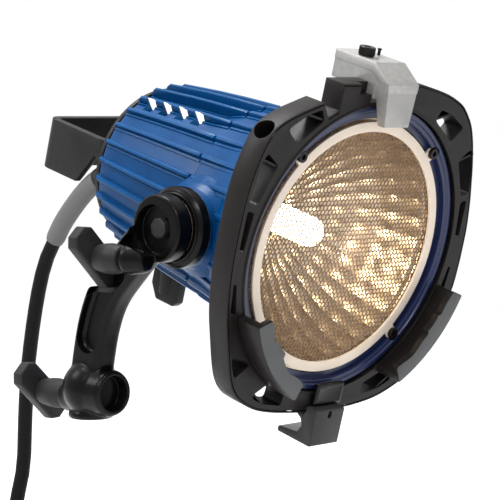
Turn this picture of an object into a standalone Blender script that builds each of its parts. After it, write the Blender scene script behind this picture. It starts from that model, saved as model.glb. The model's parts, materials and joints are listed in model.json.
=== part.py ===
"""Open-face location light on a single-arm yoke, built as separate pieces.

The origin is the mouth of the stand socket at the foot of the arm, with +Z up.
The lamp head looks towards -Y and is tilted down. Everything on the head is placed in
lamp coordinates: x across, y up and z forward, from the middle of the wire guard.
"""
import math

import bmesh
import bpy
from mathutils import Matrix, Vector

MM = 0.001
GAP = 0.3 * MM  # between pieces that touch
SLIP = 0.4 * MM  # between a pin or screw and its hole

# where the lamp head is carried
TILT = math.radians(15.8)
PIVOT = Vector((0.0, -58.0, 113.4)) * MM
LAMP_SIDE = 91.6 * MM  # from the arm's middle plane to the lamp's axis
LAMP_RISE = 4.5 * MM  # lamp axis above the pivot
LAMP_REACH = 62.3 * MM  # wire guard in front of the pivot

# ribbed rear housing
HOUSING_REAR = -165.0 * MM
HOUSING_FRONT = -77.6 * MM
HOUSING_REAR_RADIUS = 53.0 * MM
HOUSING_FRONT_RADIUS = 62.5 * MM
RIB_COUNT = 28
RIB_HEIGHT = 3.0 * MM
HOUSING_WALL = 2.4 * MM
REAR_LIP = 8.0 * MM
LAP = 6.5 * MM  # how far the housing's spigot reaches into the bell
VENT = Vector((7.0, 8.0, 6.0)) * MM
VENT_PITCH = 15.0 * MM
VENT_ANGLES = (54.0, 126.0)

# front bell
BELL_WALL = 2.5 * MM
RIM_RADIUS = 86.0 * MM
RIM_FRONT = 3.0 * MM
RIM_REAR = -3.5 * MM
RECESS_RADIUS = 80.5 * MM
RECESS_DEPTH = 4.3 * MM
SEAT_RADIUS = 77.0 * MM
SEAT_DEPTH = 3.1 * MM
THROAT_RADIUS = 72.5 * MM
THROAT_DEPTH = 3.0 * MM
BOSS_RADIUS = 19.0 * MM
BOSS_ROOT_RADIUS = 12.0 * MM
BOSS_LENGTH = 11.3 * MM
NUT_PAD_RADIUS = 8.4 * MM
NUT_PAD_DEPTH = 13.2 * MM
NUT_RADIUS = 8.0 * MM
NUT_THICK = 5.0 * MM

# reflector, guard ring and wire guard
REFLECTOR_WALL = 1.0 * MM
REFLECTOR_RIM = 1.2 * MM
REFLECTOR_FACETS = 30
REFLECTOR_BOWL = [(72.0, 0.0), (67.5, 16.0), (58.0, 32.0), (44.0, 46.0), (28.0, 56.0), (14.5, 61.0)]
GUARD_RING_INNER = 69.6 * MM
GUARD_RING_WIDTH = 6.0 * MM
GUARD_RING_THICK = 1.6 * MM
GUARD_SCREW_CIRCLE = 79.5 * MM
GUARD_SCREW_ANGLES = (45.0, 135.0, 225.0, 315.0)
GUARD_SCREW_RADIUS = 1.5 * MM
GUARD_SCREW_HEAD = 2.8 * MM
GUARD_SCREW_LENGTH = 6.0 * MM
EAR_RADIUS = 4.4 * MM
NET_THICK = 1.3 * MM
NET_PITCH = 18.5 * MM
NET_WIRE = 1.3 * MM
NET_RIM = 7.0 * MM

# accessory frame around the bell: its edge and its windows in x and y, in millimetres
FRAME_FRONT = 5.0 * MM
FRAME_REAR = -9.5 * MM
FRAME_EDGE = [(100.9, 8.0), (99.6, 18.0), (97.8, 28.0), (95.4, 38.0), (92.7, 48.6), (88.6, 61.2), (85.0, 69.5),
              (81.8, 75.0), (77.8, 79.7), (73.2, 84.2), (67.8, 87.8), (55.2, 92.8), (38.7, 96.7), (24.4, 98.9),
              (0.0, 99.0), (-38.0, 98.5), (-38.0, 83.2), (-45.5, 79.4), (-50.9, 87.9), (-59.9, 84.9), (-68.9, 81.8),
              (-77.2, 78.2), (-82.4, 75.2), (-86.2, 71.9), (-89.2, 67.3), (-91.8, 61.5), (-95.2, 50.5),
              (-97.3, 39.4), (-98.4, 25.4), (-98.6, 9.9), (-98.2, -4.4), (-96.4, -20.0), (-93.2, -35.9),
              (-88.5, -50.8), (-82.9, -67.0), (-78.7, -76.0), (-73.2, -82.8), (-65.7, -87.8), (-55.0, -92.5),
              (-41.9, -95.5), (-27.7, -97.3), (-12.0, -98.6), (12.0, -98.9), (28.0, -98.6), (48.1, -95.6),
              (64.0, -89.8), (72.5, -84.6), (79.0, -78.4), (85.4, -69.0), (91.6, -55.0), (97.0, -41.0),
              (100.5, -28.0), (101.4, -14.0), (101.3, -3.0)]
WINDOWS = [[(-47.7, 77.3), (-51.2, 83.9), (-62.0, 80.6), (-75.4, 72.7), (-65.9, 64.2), (-56.5, 71.0)],
           [(-77.3, 52.4), (-87.3, 59.8), (-90.2, 54.0), (-94.5, 31.5), (-87.4, 30.1)],
           [(-88.4, 26.2), (-94.0, 27.6), (-94.4, 4.2), (-90.8, 3.4)],
           [(-91.0, -14.6), (-93.3, -15.0), (-91.4, -31.0), (-86.2, -34.2)],
           [(-84.2, -57.2), (-66.0, -63.4), (-77.8, -71.4)],
           [(-61.6, -84.0), (-50.4, -77.8), (-33.4, -85.2), (-34.4, -92.0), (-50.0, -89.4)]]
NOTCH_FLOOR = 87.8 * MM
LUG_TOP = 98.5 * MM
LUG_WIDTH = 9.0 * MM
BLOCK_STEP = Vector((10.0, 6.0, 5.0)) * MM  # taken out of the block's front corner
HOOK_FRONT = 22.5 * MM
HOOK_LIP = 4.6 * MM
HOOK_WALL = 5.0 * MM
HOOK_OUTER = 92.0 * MM
HOOK_INNER = 81.8 * MM
HOOK_TOOTH = 77.8 * MM
HOOKS = ((-59.5, -17.0), (-158.0, -118.0))
HOOK_TEETH = ((-38.0, -28.5), (-147.0, -138.0))
FRAME_SCREW_RADIUS = 2.0 * MM
FRAME_SCREW_HEAD = 3.6 * MM
FRAME_SCREW_LEVEL = -2.4 * MM
FRAME_SCREW_SEAT = 93.0 * MM
FRAME_SCREW_LENGTH = 10.0 * MM
FRAME_SCREW_ANGLES = (39.5, 140.5, 256.0, 284.0)
ACCESS_HOLE = 6.0 * MM

# latch, bracket and pad on the frame
LATCH_WIDTH = 26.0 * MM
LATCH_TIP_WIDTH = 18.5 * MM
LATCH_SIDE = [(9.6, 76.0), (15.0, 76.0), (15.5, 101.0), (2.0, 110.4), (-28.6, 110.7), (-28.6, 94.5), (-15.0, 94.5),
              (-11.5, 91.6), (-9.0, 90.4), (7.0, 90.4)]
LATCH_PIN_RADIUS = 2.0 * MM
LATCH_PIN_PLACE = (-4.5 * MM, 94.0 * MM)
LATCH_SCREW_X, LATCH_SCREW_Z = -5.5 * MM, -12.0 * MM
LATCH_SCREW_HEAD = 4.8 * MM
LATCH_SCREW_HEIGHT = 5.0 * MM
LATCH_SCREW_SHANK = 2.0 * MM
BRACKET_WIDTH = 24.0 * MM
BRACKET_SIDE = [(5.3, -94.2), (14.0, -94.2), (14.0, -117.0), (-13.0, -117.0), (-13.0, -113.5), (2.0, -111.6),
                (4.5, -107.0), (2.5, -103.0), (-3.0, -99.8), (5.3, -99.8)]
BRACKET_SCREW_LEVEL = -96.9 * MM
BRACKET_SCREW_RADIUS = 1.2 * MM
PAD = Vector((23.0, 13.0, 3.6)) * MM
PAD_PLACE = (2.0 * MM, -87.0 * MM)

# rear cover, handle, gland and sleeve
COVER_THICK = 3.0 * MM
COVER_RADIUS = 49.0 * MM
COVER_SCREW_CIRCLE = 43.5 * MM
COVER_SCREW_ANGLES = (60.0, 120.0, 240.0, 300.0)
COVER_SCREW_RADIUS = 1.6 * MM
COVER_SCREW_LENGTH = 7.0 * MM
HANDLE_WIDTH = 90.0 * MM
HANDLE_REAR = -225.0 * MM
HANDLE_STRAP = 5.0 * MM
HANDLE_LOW = -17.0 * MM
HANDLE_HIGH = 15.0 * MM
HANDLE_FOOT_LOW = 3.0 * MM
HANDLE_FOOT_REACH = 20.0 * MM
HANDLE_CUT = 14.0 * MM
HANDLE_BEND = 6.0 * MM
GLAND_RADIUS = 6.8 * MM
GLAND_LENGTH = 8.0 * MM
GLAND_PLACE = (-38.0 * MM, -6.2 * MM)
GLAND_SLOPE = math.radians(38.5)
SLEEVE_RADIUS = 6.3 * MM
SLEEVE_TIP_RADIUS = 5.9 * MM

# single-arm yoke
ARM_WIDTH = 24.0 * MM
ARM_THICK = 16.0 * MM
ARM_PATH = [(0.0, 18.0), (-1.6, 30.0), (-4.8, 45.0), (-7.6, 55.0), (-12.6, 67.0), (-20.0, 78.0), (-32.0, 90.0),
            (-45.0, 102.0), (-51.0, 107.0)]
HUB_RADIUS = 19.5 * MM
HUB_OUTER = -2.0 * MM
HUB_INNER = 9.0 * MM
HUB_RECESS = 12.0 * MM
HUB_FLOOR = 4.0 * MM
FLUTE_WIDTH = 17.0 * MM
FLUTE_DEPTH = 10.0 * MM
FLUTE_PATH = [(-6.3, 51.0), (-9.6, 60.0), (-15.0, 71.0), (-24.0, 82.5)]
SOCKET_BORE = 8.1 * MM
SOCKET_DEPTH = 28.0 * MM
SOCKET_FLANGE = 13.3 * MM
SOCKET_FLANGE_THICK = 3.0 * MM
SOCKET_BALL = 17.0 * MM
SOCKET_BALL_LEVEL = 17.5 * MM
PORT_LEVEL = 16.0 * MM
PORT_REACH = 20.0 * MM
PORT_RADIUS = 11.5 * MM
PORT_RECESS = 9.5 * MM
PORT_RECESS_DEPTH = 7.0 * MM

# pivot
BOLT_RADIUS = 5.0 * MM
BOLT_HEAD = 6.2 * MM
BOLT_HEAD_THICK = 4.0 * MM
WASHER_RADIUS = 18.0 * MM
WASHER_THICK = 0.8 * MM
DISC_RADIUS = 23.5 * MM
DISC_THICK = 9.3 * MM
DISC_CHAMFER = 2.2 * MM

# wing handles on the stand clamp and on the tilt lock
WING_LENGTH = 42.0 * MM
WING_WIDTH = 17.0 * MM
WING_THICK = 8.0 * MM
WING_CORNER = 4.5 * MM
CONE_TIP_RADIUS = 5.0 * MM
CONE_RADIUS = 8.5 * MM
SCREW_RADIUS = 4.0 * MM
STAND_BOSS_END = 20.0 * MM
STAND_BOSS_RADIUS = 9.5 * MM
STAND_LEVEL = 11.6 * MM
STAND_CONE_LENGTH = 22.5 * MM
STAND_WING_ANGLE = math.radians(-43.8)
SHOE_LENGTH = 4.0 * MM
SHOE_RADIUS = 5.0 * MM
TILT_SIDE = -13.0 * MM
TILT_LEVEL = 95.7 * MM
TILT_BOSS_START = -60.0 * MM
TILT_BOSS_END = -44.0 * MM
TILT_BOSS_RADIUS = 9.0 * MM
TILT_CONE_LENGTH = 20.9 * MM
TILT_WING_ANGLE = math.radians(-46.0)

# lamp carriage and its focus drive
BULKHEAD_Z = -83.0 * MM
BULKHEAD_THICK = 2.0 * MM
HOLDER_RADIUS = 12.0 * MM
HOLDER_FRONT = -70.0 * MM
HOLDER_PASSAGE = 13.5 * MM
ROD_RADIUS = 2.5 * MM
ROD_SPREAD = 22.0 * MM
CARRIAGE_Z = -109.0 * MM
CARRIAGE_SIZE = Vector((56.0, 18.0, 6.0)) * MM
BULB_RADIUS = 5.5 * MM
BULB_LENGTH = 40.0 * MM
BULB_PINCH = Vector((13.0, 5.0, 9.0)) * MM
MODULE = 1.0 * MM
PINION_TEETH = 12
TOOTH_ROOT = 0.8 * MM
TOOTH_PITCH_HALF = 0.50 * MM
TOOTH_TIP = 0.32 * MM
RACK_TEETH = 10
RACK_LOW, RACK_HIGH = -12.0 * MM, -5.0 * MM
RACK_BACK = 6.0 * MM
KNOB_Z = -136.0 * MM
KNOB_LENGTH = 24.5 * MM
KNOB_THICK = 7.0 * MM
KNOB_TOP = -60.2 * MM
KNOB_LOW = -80.6 * MM
KNOB_HUB = 6.5 * MM
SHAFT_RADIUS = 3.0 * MM
BUSH_RADIUS = 8.0 * MM
BUSH_HIGH = -47.0 * MM

# mains cord: a free stretch, a coil held by a tie, and a plug
CORD_RADIUS = 4.75 * MM
SLEEVE_ROUTE = [(-175.5, -11.8), (-180.0, -16.0), (-187.0, -24.6), (-195.0, -37.0), (-201.6, -49.6), (-206.0, -62.0)]
CORD_ROUTE = [(53.6, 96.4, 96.6), (53.8, 105.2, 83.3), (54.2, 112.6, 64.9), (54.8, 120.0, 38.6), (55.6, 126.4, 8.7),
              (56.2, 129.8, -21.0), (55.6, 131.2, -51.4), (49.6, 131.6, -76.0), (45.6, 131.6, -99.0),
              (41.4, 131.6, -122.0), (38.6, 131.6, -145.0), (38.0, 131.6, -164.7)]
COIL_TURNS = 4  # in each of the two layers
COIL_INNER = 35.0 * MM
COIL_PITCH = 10.2 * MM
COIL_START = Vector((38.0, 131.6, -165.0)) * MM
COIL_POINTS = 24
TAIL = 26.0 * MM
TIE_WIDTH = 16.0 * MM
TIE_THICK = 1.6 * MM
TIE_SLACK = 0.25 * MM
PLUG_RADIUS = 17.5 * MM
PLUG_LENGTH = 52.0 * MM
PLUG_PIN_RADIUS = 2.4 * MM
PLUG_PIN_LENGTH = 19.0 * MM
PLUG_PIN_SPREAD = 9.5 * MM

# colours, roughness and metallic
BLUE = ((0.010, 0.090, 0.300), 0.35, 0.0)
BLACK = ((0.012, 0.012, 0.013), 0.30, 0.0)
FRAME_BLACK = ((0.030, 0.028, 0.030), 0.45, 0.0)
GREY = ((0.060, 0.060, 0.062), 0.50, 0.0)
CAST = ((0.420, 0.415, 0.400), 0.42, 0.6)
STEEL = ((0.450, 0.450, 0.460), 0.30, 1.0)
DARK_STEEL = ((0.060, 0.055, 0.055), 0.35, 0.9)
MIRROR = ((0.800, 0.720, 0.560), 0.15, 1.0)
CREAM = ((0.780, 0.700, 0.580), 0.45, 0.2)
WIRE = ((0.180, 0.130, 0.080), 0.40, 0.8)
CERAMIC = ((0.800, 0.790, 0.760), 0.55, 0.0)
QUARTZ = ((0.950, 0.900, 0.750), 0.10, 0.0)
RUBBER = ((0.018, 0.018, 0.019), 0.60, 0.0)
SLEEVE_GREY = ((0.170, 0.170, 0.170), 0.60, 0.0)
BRASS = ((0.550, 0.400, 0.150), 0.35, 1.0)
FIBRE = ((0.120, 0.090, 0.060), 0.80, 0.0)

UP = Vector((0, 0, 1))
ACROSS = Matrix.Rotation(math.radians(90), 4, "Y")  # turns +Z to +X
DEEP = Matrix.Rotation(math.radians(-90), 4, "X")  # turns +Z to +Y


def clear_scene():
    """Start from nothing, with one collection for the light and one for its cutters."""
    for old in list(bpy.data.objects):
        bpy.data.objects.remove(old, do_unlink=True)
    made = []
    for name in ("open_face_light", "cutters"):
        collection = bpy.data.collections.new(name)
        bpy.context.scene.collection.children.link(collection)
        made.append(collection)
    return made


PIECES, CUTTERS = clear_scene()


def finish(name, look):
    """A Principled material with this colour, roughness and metallic value."""
    material = bpy.data.materials.new(name)
    material.use_nodes = True
    shader = material.node_tree.nodes["Principled BSDF"]
    colour, roughness, metallic = look
    shader.inputs["Base Color"].default_value = (*colour, 1.0)
    shader.inputs["Roughness"].default_value = roughness
    shader.inputs["Metallic"].default_value = metallic
    return material


def empty(name, parent=None, location=(0, 0, 0), rotation=(0, 0, 0)):
    holder = bpy.data.objects.new(name, None)
    PIECES.objects.link(holder)
    holder.parent = parent
    holder.location = location
    holder.rotation_euler = rotation
    return holder


def piece(name, look, bm, parent, location=(0, 0, 0), smooth=True):
    """A named object with its own material, made from a bmesh."""
    mesh = bpy.data.meshes.new(name)
    bm.to_mesh(mesh)
    bm.free()
    made = bpy.data.objects.new(name, mesh)
    PIECES.objects.link(made)
    made.parent = parent
    made.location = location
    mesh.materials.append(finish(name, look))
    if smooth:
        mesh.shade_smooth()
        mesh.set_sharp_from_angle(angle=math.radians(35))
    return made


def operand(target, operation, bm, location=(0, 0, 0)):
    """Join or cut a target with a shape that lies in the target's own parent frame."""
    name = f"{target.name}_{operation.lower()}_{len(target.modifiers)}"
    mesh = bpy.data.meshes.new(name)
    bm.to_mesh(mesh)
    bm.free()
    made = bpy.data.objects.new(name, mesh)
    CUTTERS.objects.link(made)
    made.parent = target.parent
    made.location = location
    made.hide_render = True
    made.display_type = "WIRE"
    step = target.modifiers.new(name, "BOOLEAN")
    step.operation = operation
    step.object = made
    step.solver = "EXACT"


def join(target, bm, location=(0, 0, 0)):
    operand(target, "UNION", bm, location)


def cut(target, bm, location=(0, 0, 0)):
    operand(target, "DIFFERENCE", bm, location)


def box(low, high):
    """A block between two corners."""
    low, high = Vector(low), Vector(high)
    bm = bmesh.new()
    size = high - low
    place = Matrix.Translation((low + high) / 2) @ Matrix.Diagonal((*size, 1.0))
    bmesh.ops.create_cube(bm, size=1.0, matrix=place)
    return bm


def rod(radius, start, end, sides=24, end_radius=None):
    """A round bar or cone from one point to another."""
    start, end = Vector(start), Vector(end)
    along = end - start
    turn = UP.rotation_difference(along).to_matrix().to_4x4()
    bm = bmesh.new()
    bmesh.ops.create_cone(
        bm,
        cap_ends=True,
        segments=sides,
        radius1=radius,
        radius2=radius if end_radius is None else end_radius,
        depth=along.length,
        matrix=Matrix.Translation((start + end) / 2) @ turn,
    )
    return bm


def merge(*shapes):
    """Several separate shapes in one bmesh."""
    whole = bmesh.new()
    for shape in shapes:
        mesh = bpy.data.meshes.new("shape")
        shape.to_mesh(mesh)
        shape.free()
        whole.from_mesh(mesh)
        bpy.data.meshes.remove(mesh)
    return whole


def slab(outline, low, high):
    """A flat outline in x and y, made solid between two levels of z."""
    bm = bmesh.new()
    ring = [bm.verts.new((x, y, low)) for x, y in outline]
    face = bm.faces.new(ring)
    grown = bmesh.ops.extrude_face_region(bm, geom=[face])
    top = [v for v in grown["geom"] if isinstance(v, bmesh.types.BMVert)]
    bmesh.ops.translate(bm, vec=(0, 0, high - low), verts=top)
    bmesh.ops.recalc_face_normals(bm, faces=bm.faces)
    return bm


def side_slab(outline, left, right):
    """An outline in z and y, made solid from left to right across x."""
    bm = slab([(-z, y) for z, y in outline], left, right)
    bmesh.ops.transform(bm, matrix=ACROSS, verts=bm.verts)
    return bm


def outline(bm, profile):
    """Points and edges of a profile of (radius, z), left open where it runs along the axis."""
    ring = [bm.verts.new((r, 0, z)) for r, z in profile]
    edges = []
    for a, b in zip(ring, ring[1:] + ring[:1]):
        if a.co.x > 0 or b.co.x > 0:
            edges.append(bm.edges.new((a, b)))
    return ring, edges


def turned(name, look, profile, parent, steps=48, location=(0, 0, 0)):
    """A closed profile of (radius, z) points spun round z with a Screw modifier."""
    bm = bmesh.new()
    outline(bm, profile)
    made = piece(name, look, bm, parent, location, smooth=False)
    spin = made.modifiers.new("spin", "SCREW")
    spin.axis = "Z"
    spin.steps = steps
    spin.render_steps = steps
    spin.use_merge_vertices = True
    spin.merge_threshold = 0.00001
    spin.use_smooth_shade = True
    return made


def spun(profile, steps=32):
    """A closed profile of (radius, z) points spun round z, as a bmesh for joining or cutting."""
    bm = bmesh.new()
    ring, edges = outline(bm, profile)
    bmesh.ops.spin(bm, geom=ring + edges, axis=(0, 0, 1), cent=(0, 0, 0), angle=math.tau, steps=steps, use_merge=True)
    bmesh.ops.remove_doubles(bm, verts=bm.verts, dist=0.00001)
    bmesh.ops.recalc_face_normals(bm, faces=bm.faces)
    return bm


def ribbed_shell(rings):
    """A shell of rings of (radius, rib height, z), joined in order and closed from last to first."""
    bm = bmesh.new()
    loops = []
    for radius, rib, z in rings:
        loop = []
        for i in range(RIB_COUNT * 3):
            angle = math.tau * (i - 0.5) / (RIB_COUNT * 3)
            r = radius if i % 3 == 2 else radius - rib
            loop.append(bm.verts.new((r * math.cos(angle), r * math.sin(angle), z)))
        loops.append(loop)
    for a, b in zip(loops, loops[1:] + loops[:1]):
        for k in range(len(a)):
            bm.faces.new((a[k - 1], a[k], b[k], b[k - 1]))
    bmesh.ops.recalc_face_normals(bm, faces=bm.faces)
    return bm


def around(angle, radius, z=0.0):
    """A point at an angle in degrees and a radius round the lamp's axis."""
    turn = math.radians(angle)
    return Vector((radius * math.cos(turn), radius * math.sin(turn), z))


def sector(from_angle, to_angle, inner, outer, low, high, steps=4):
    """A piece of a ring between two angles."""
    angles = [from_angle + (to_angle - from_angle) * i / steps for i in range(steps + 1)]
    edge = [around(a, outer).xy for a in angles] + [around(a, inner).xy for a in reversed(angles)]
    return slab(edge, low, high)


def smooth_points(route, spacing):
    """Points at an even spacing on a smooth curve through a route's own points."""
    route = [Vector(p) for p in route]
    ends = [route[0] * 2 - route[1]] + route + [route[-1] * 2 - route[-2]]
    fine = []
    for p0, p1, p2, p3 in zip(ends, ends[1:], ends[2:], ends[3:]):
        for k in range(20):
            t = k / 20
            fine.append(
                0.5 * (2 * p1 + (p2 - p0) * t + (2 * p0 - 5 * p1 + 4 * p2 - p3) * t * t
                       + (3 * p1 - 3 * p2 + p3 - p0) * t ** 3)
            )
    fine.append(route[-1])
    along = [0.0]
    for a, b in zip(fine, fine[1:]):
        along.append(along[-1] + (b - a).length)
    count = max(2, round(along[-1] / spacing))
    points, k = [], 0
    for i in range(count + 1):
        want = along[-1] * i / count
        while k < len(fine) - 2 and along[k + 1] < want:
            k += 1
        share = (want - along[k]) / max(along[k + 1] - along[k], 1e-9)
        points.append(fine[k].lerp(fine[k + 1], min(share, 1.0)))
    return points


def tube(name, look, points, radius, parent, resolution=2, radii=None):
    """A filled round tube through points, as a curve object."""
    curve = bpy.data.curves.new(name, "CURVE")
    curve.dimensions = "3D"
    curve.bevel_depth = radius
    curve.bevel_resolution = resolution
    curve.use_fill_caps = True
    spline = curve.splines.new("POLY")
    spline.points.add(len(points) - 1)
    for k, (slot, p) in enumerate(zip(spline.points, points)):
        slot.co = (*p, 1.0)
        slot.radius = 1.0 if radii is None else radii[k] / radius
    made = bpy.data.objects.new(name, curve)
    PIECES.objects.link(made)
    made.parent = parent
    curve.materials.append(finish(name, look))
    return made


def screws(name, look, parent, seats, shank, head, head_thick, length, sides=8):
    """A row of like screws, one object each. Every seat is a point under the head and the way the head faces."""
    profile = [(0.0, head_thick), (head, head_thick), (head, 0.0), (shank, 0.0), (shank, -length), (0.0, -length)]
    shape = spun(profile, sides)
    first = None
    for k, (seat, facing) in enumerate(seats, 1):
        if first is None:
            made = piece(f"{name}_{k}", look, shape, parent, seat)
            first = made.data
        else:
            made = bpy.data.objects.new(f"{name}_{k}", first)
            PIECES.objects.link(made)
            made.parent = parent
            made.location = seat
        made.rotation_euler = UP.rotation_difference(facing).to_euler()


def bevelled(made, width, segments=1, angle=40.0):
    step = made.modifiers.new("edges", "BEVEL")
    step.width = width
    step.segments = segments
    step.limit_method = "ANGLE"
    step.angle_limit = math.radians(angle)
    return made


# holders: the yoke stands at the origin, the head turns about the pivot
yoke = empty("yoke")
head = empty("head", None, PIVOT, (math.radians(90) + TILT, 0, 0))
lamp = empty("lamp", head, (LAMP_SIDE, LAMP_RISE, LAMP_REACH))

GUARD_TOP = RIM_FRONT - RECESS_DEPTH
NET_TOP = GUARD_TOP
NET_BOTTOM = NET_TOP - NET_THICK
SEAT_FLOOR = GUARD_TOP - SEAT_DEPTH
BOSS_FACE = -LAMP_SIDE + HUB_INNER + WASHER_THICK + DISC_THICK + 3 * GAP
COVER_FRONT = HOUSING_REAR - GAP
COVER_REAR = COVER_FRONT - COVER_THICK


def housing_radius(z):
    """Radius over the ribs of the rear housing at a place along the lamp's axis."""
    share = (z - HOUSING_REAR) / (HOUSING_FRONT - HOUSING_REAR)
    return HOUSING_REAR_RADIUS + share * (HOUSING_FRONT_RADIUS - HOUSING_REAR_RADIUS)


def housing_bore(z):
    """Inner radius of the rear housing."""
    return housing_radius(z) - RIB_HEIGHT - HOUSING_WALL


def make_housing():
    spigot = HOUSING_FRONT_RADIUS - RIB_HEIGHT - GAP
    shelf = HOUSING_REAR + REAR_LIP / 2
    rings = [
        (HOUSING_REAR_RADIUS, RIB_HEIGHT, HOUSING_REAR),
        (HOUSING_FRONT_RADIUS, RIB_HEIGHT, HOUSING_FRONT),
        (spigot, 0, HOUSING_FRONT),
        (spigot, 0, HOUSING_FRONT + LAP),
        (spigot - HOUSING_WALL, 0, HOUSING_FRONT + LAP),
        (housing_bore(shelf), 0, shelf),
        (housing_bore(shelf) - REAR_LIP, 0, shelf),
        (housing_bore(shelf) - REAR_LIP, 0, HOUSING_REAR),
    ]
    made = piece("housing", BLUE, ribbed_shell(rings), lamp)
    for angle in VENT_ANGLES:
        slots = []
        for k in range(4):
            z = HOUSING_REAR + 14 * MM + k * VENT_PITCH
            slot = box(-VENT / 2, VENT / 2)
            place = Matrix.Translation(around(angle, housing_radius(z) - RIB_HEIGHT, z))
            place = place @ Matrix.Rotation(math.radians(angle - 90), 4, "Z")
            bmesh.ops.transform(slot, matrix=place, verts=slot.verts)
            slots.append(slot)
        cut(made, merge(*slots))
    cut(made, rod(BUSH_RADIUS + GAP, (0, -30 * MM, KNOB_Z), (0, -70 * MM, KNOB_Z)))
    cut(made, screw_row(COVER_SCREW_RADIUS + SLIP, COVER_SCREW_CIRCLE, COVER_SCREW_ANGLES, COVER_REAR,
                        shelf + 1 * MM))
    return made


def screw_row(radius, circle, angles, low, high, sides=12):
    """Round bars along the lamp's axis on a circle, for screws and their holes."""
    return merge(*[rod(radius, around(a, circle, low), around(a, circle, high), sides) for a in angles])


def make_bell():
    """Front casting: it grows from the ribbed body to the round rim, and carries the pivot boss."""
    rear = HOUSING_FRONT + GAP
    throat = SEAT_FLOOR - THROAT_DEPTH
    outer = [(HOUSING_FRONT_RADIUS, rear), (64.6 * MM, -60 * MM), (69.5 * MM, -38 * MM), (75.5 * MM, -21 * MM),
             (81.5 * MM, -10 * MM), (RIM_RADIUS, RIM_REAR), (RIM_RADIUS, RIM_FRONT)]
    front = [(RECESS_RADIUS, RIM_FRONT), (RECESS_RADIUS, GUARD_TOP), (SEAT_RADIUS, GUARD_TOP),
             (SEAT_RADIUS, SEAT_FLOOR), (THROAT_RADIUS, SEAT_FLOOR), (THROAT_RADIUS, throat)]
    inner = [(r - BELL_WALL * 1.15, z) for r, z in (outer[3], outer[1])]
    inner.append((HOUSING_FRONT_RADIUS - RIB_HEIGHT, rear + LAP + GAP))
    inner.append((HOUSING_FRONT_RADIUS - RIB_HEIGHT, rear))
    profile = [(r, z) for r, z in reversed(outer + front + inner)]
    made = turned("front_bell", BLUE, profile, lamp, steps=36)
    axle = (-LAMP_RISE, -LAMP_REACH)
    join(made, rod(BOSS_RADIUS, (BOSS_FACE, *axle), (BOSS_FACE + BOSS_LENGTH, *axle), 28, BOSS_ROOT_RADIUS))
    join(made, rod(NUT_PAD_RADIUS, (BOSS_FACE + 5 * MM, *axle), (BOSS_FACE + NUT_PAD_DEPTH, *axle), 20))
    cut(made, rod(BOLT_RADIUS + SLIP, (BOSS_FACE - 5 * MM, *axle), (BOSS_FACE + 25 * MM, *axle)))
    pockets = screw_row(EAR_RADIUS + GAP, GUARD_SCREW_CIRCLE, GUARD_SCREW_ANGLES, GUARD_TOP - 0.6 * MM, 10 * MM, 12)
    holes = screw_row(GUARD_SCREW_RADIUS + SLIP, GUARD_SCREW_CIRCLE, GUARD_SCREW_ANGLES,
                      GUARD_TOP - GUARD_SCREW_LENGTH, GUARD_TOP + 1 * MM)
    cut(made, pockets)
    cut(made, holes)
    radial = [rod(FRAME_SCREW_RADIUS + SLIP, around(a, 82.3 * MM, FRAME_SCREW_LEVEL),
                  around(a, 90 * MM, FRAME_SCREW_LEVEL), 12) for a in FRAME_SCREW_ANGLES]
    cut(made, merge(*radial))
    return made


def make_reflector():
    """Faceted bowl whose rim lies in the bell's seat."""
    top = SEAT_FLOOR + GAP + REFLECTOR_RIM
    rim = SEAT_RADIUS - GAP
    bowl = [(r * MM, SEAT_FLOOR + GAP - d * MM) for r, d in REFLECTOR_BOWL]
    inside = [(r - REFLECTOR_WALL * 1.1, z + REFLECTOR_WALL * 0.4) for r, z in reversed(bowl)]
    inside[-1] = (inside[-1][0], top)
    profile = [(rim, top), (rim, SEAT_FLOOR + GAP)] + bowl + inside
    return turned("reflector", MIRROR, profile, lamp, steps=REFLECTOR_FACETS)


def flat_sheet(name, look, rings, low, high, parent):
    """A sheet with holes as a filled flat curve: the first ring is its edge, the others are its holes."""
    curve = bpy.data.curves.new(name, "CURVE")
    curve.dimensions = "2D"
    curve.fill_mode = "BOTH"
    curve.extrude = (high - low) / 2
    for ring in rings:
        spline = curve.splines.new("POLY")
        spline.points.add(len(ring) - 1)
        spline.use_cyclic_u = True
        for slot, p in zip(spline.points, ring):
            slot.co = (p[0], p[1], 0.0, 1.0)
    curve.materials.append(finish(name, look))
    made = bpy.data.objects.new(name, curve)
    PIECES.objects.link(made)
    made.parent = parent
    made.location = (0, 0, (low + high) / 2)
    return made


def circle(radius, sides, centre=(0, 0)):
    middle = Vector(centre)
    return [middle + around(360 * k / sides, radius).xy for k in range(sides)]


def make_guard_ring():
    """Flat ring over the wire guard with four round ears for its screws."""
    outer = GUARD_RING_INNER + GUARD_RING_WIDTH
    edge = []
    half = math.degrees(EAR_RADIUS / GUARD_SCREW_CIRCLE)
    for k, a in enumerate(GUARD_SCREW_ANGLES):
        edge.append(around(a - half, outer).xy)
        centre = around(a, GUARD_SCREW_CIRCLE).xy
        for t in range(-90, 91, 45):
            edge.append(centre + around(a + t, EAR_RADIUS).xy)
        edge.append(around(a + half, outer).xy)
        edge += [around(a + half + (90 - 2 * half) * j / 9, outer).xy for j in range(1, 9)]
    holes = [circle(GUARD_SCREW_RADIUS + SLIP, 12, around(a, GUARD_SCREW_CIRCLE).xy) for a in GUARD_SCREW_ANGLES]
    low = GUARD_TOP + GAP
    flat_sheet("guard_ring", CREAM, [edge, circle(GUARD_RING_INNER, 36)] + holes, low, low + GUARD_RING_THICK, lamp)
    return low + GUARD_RING_THICK


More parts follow.
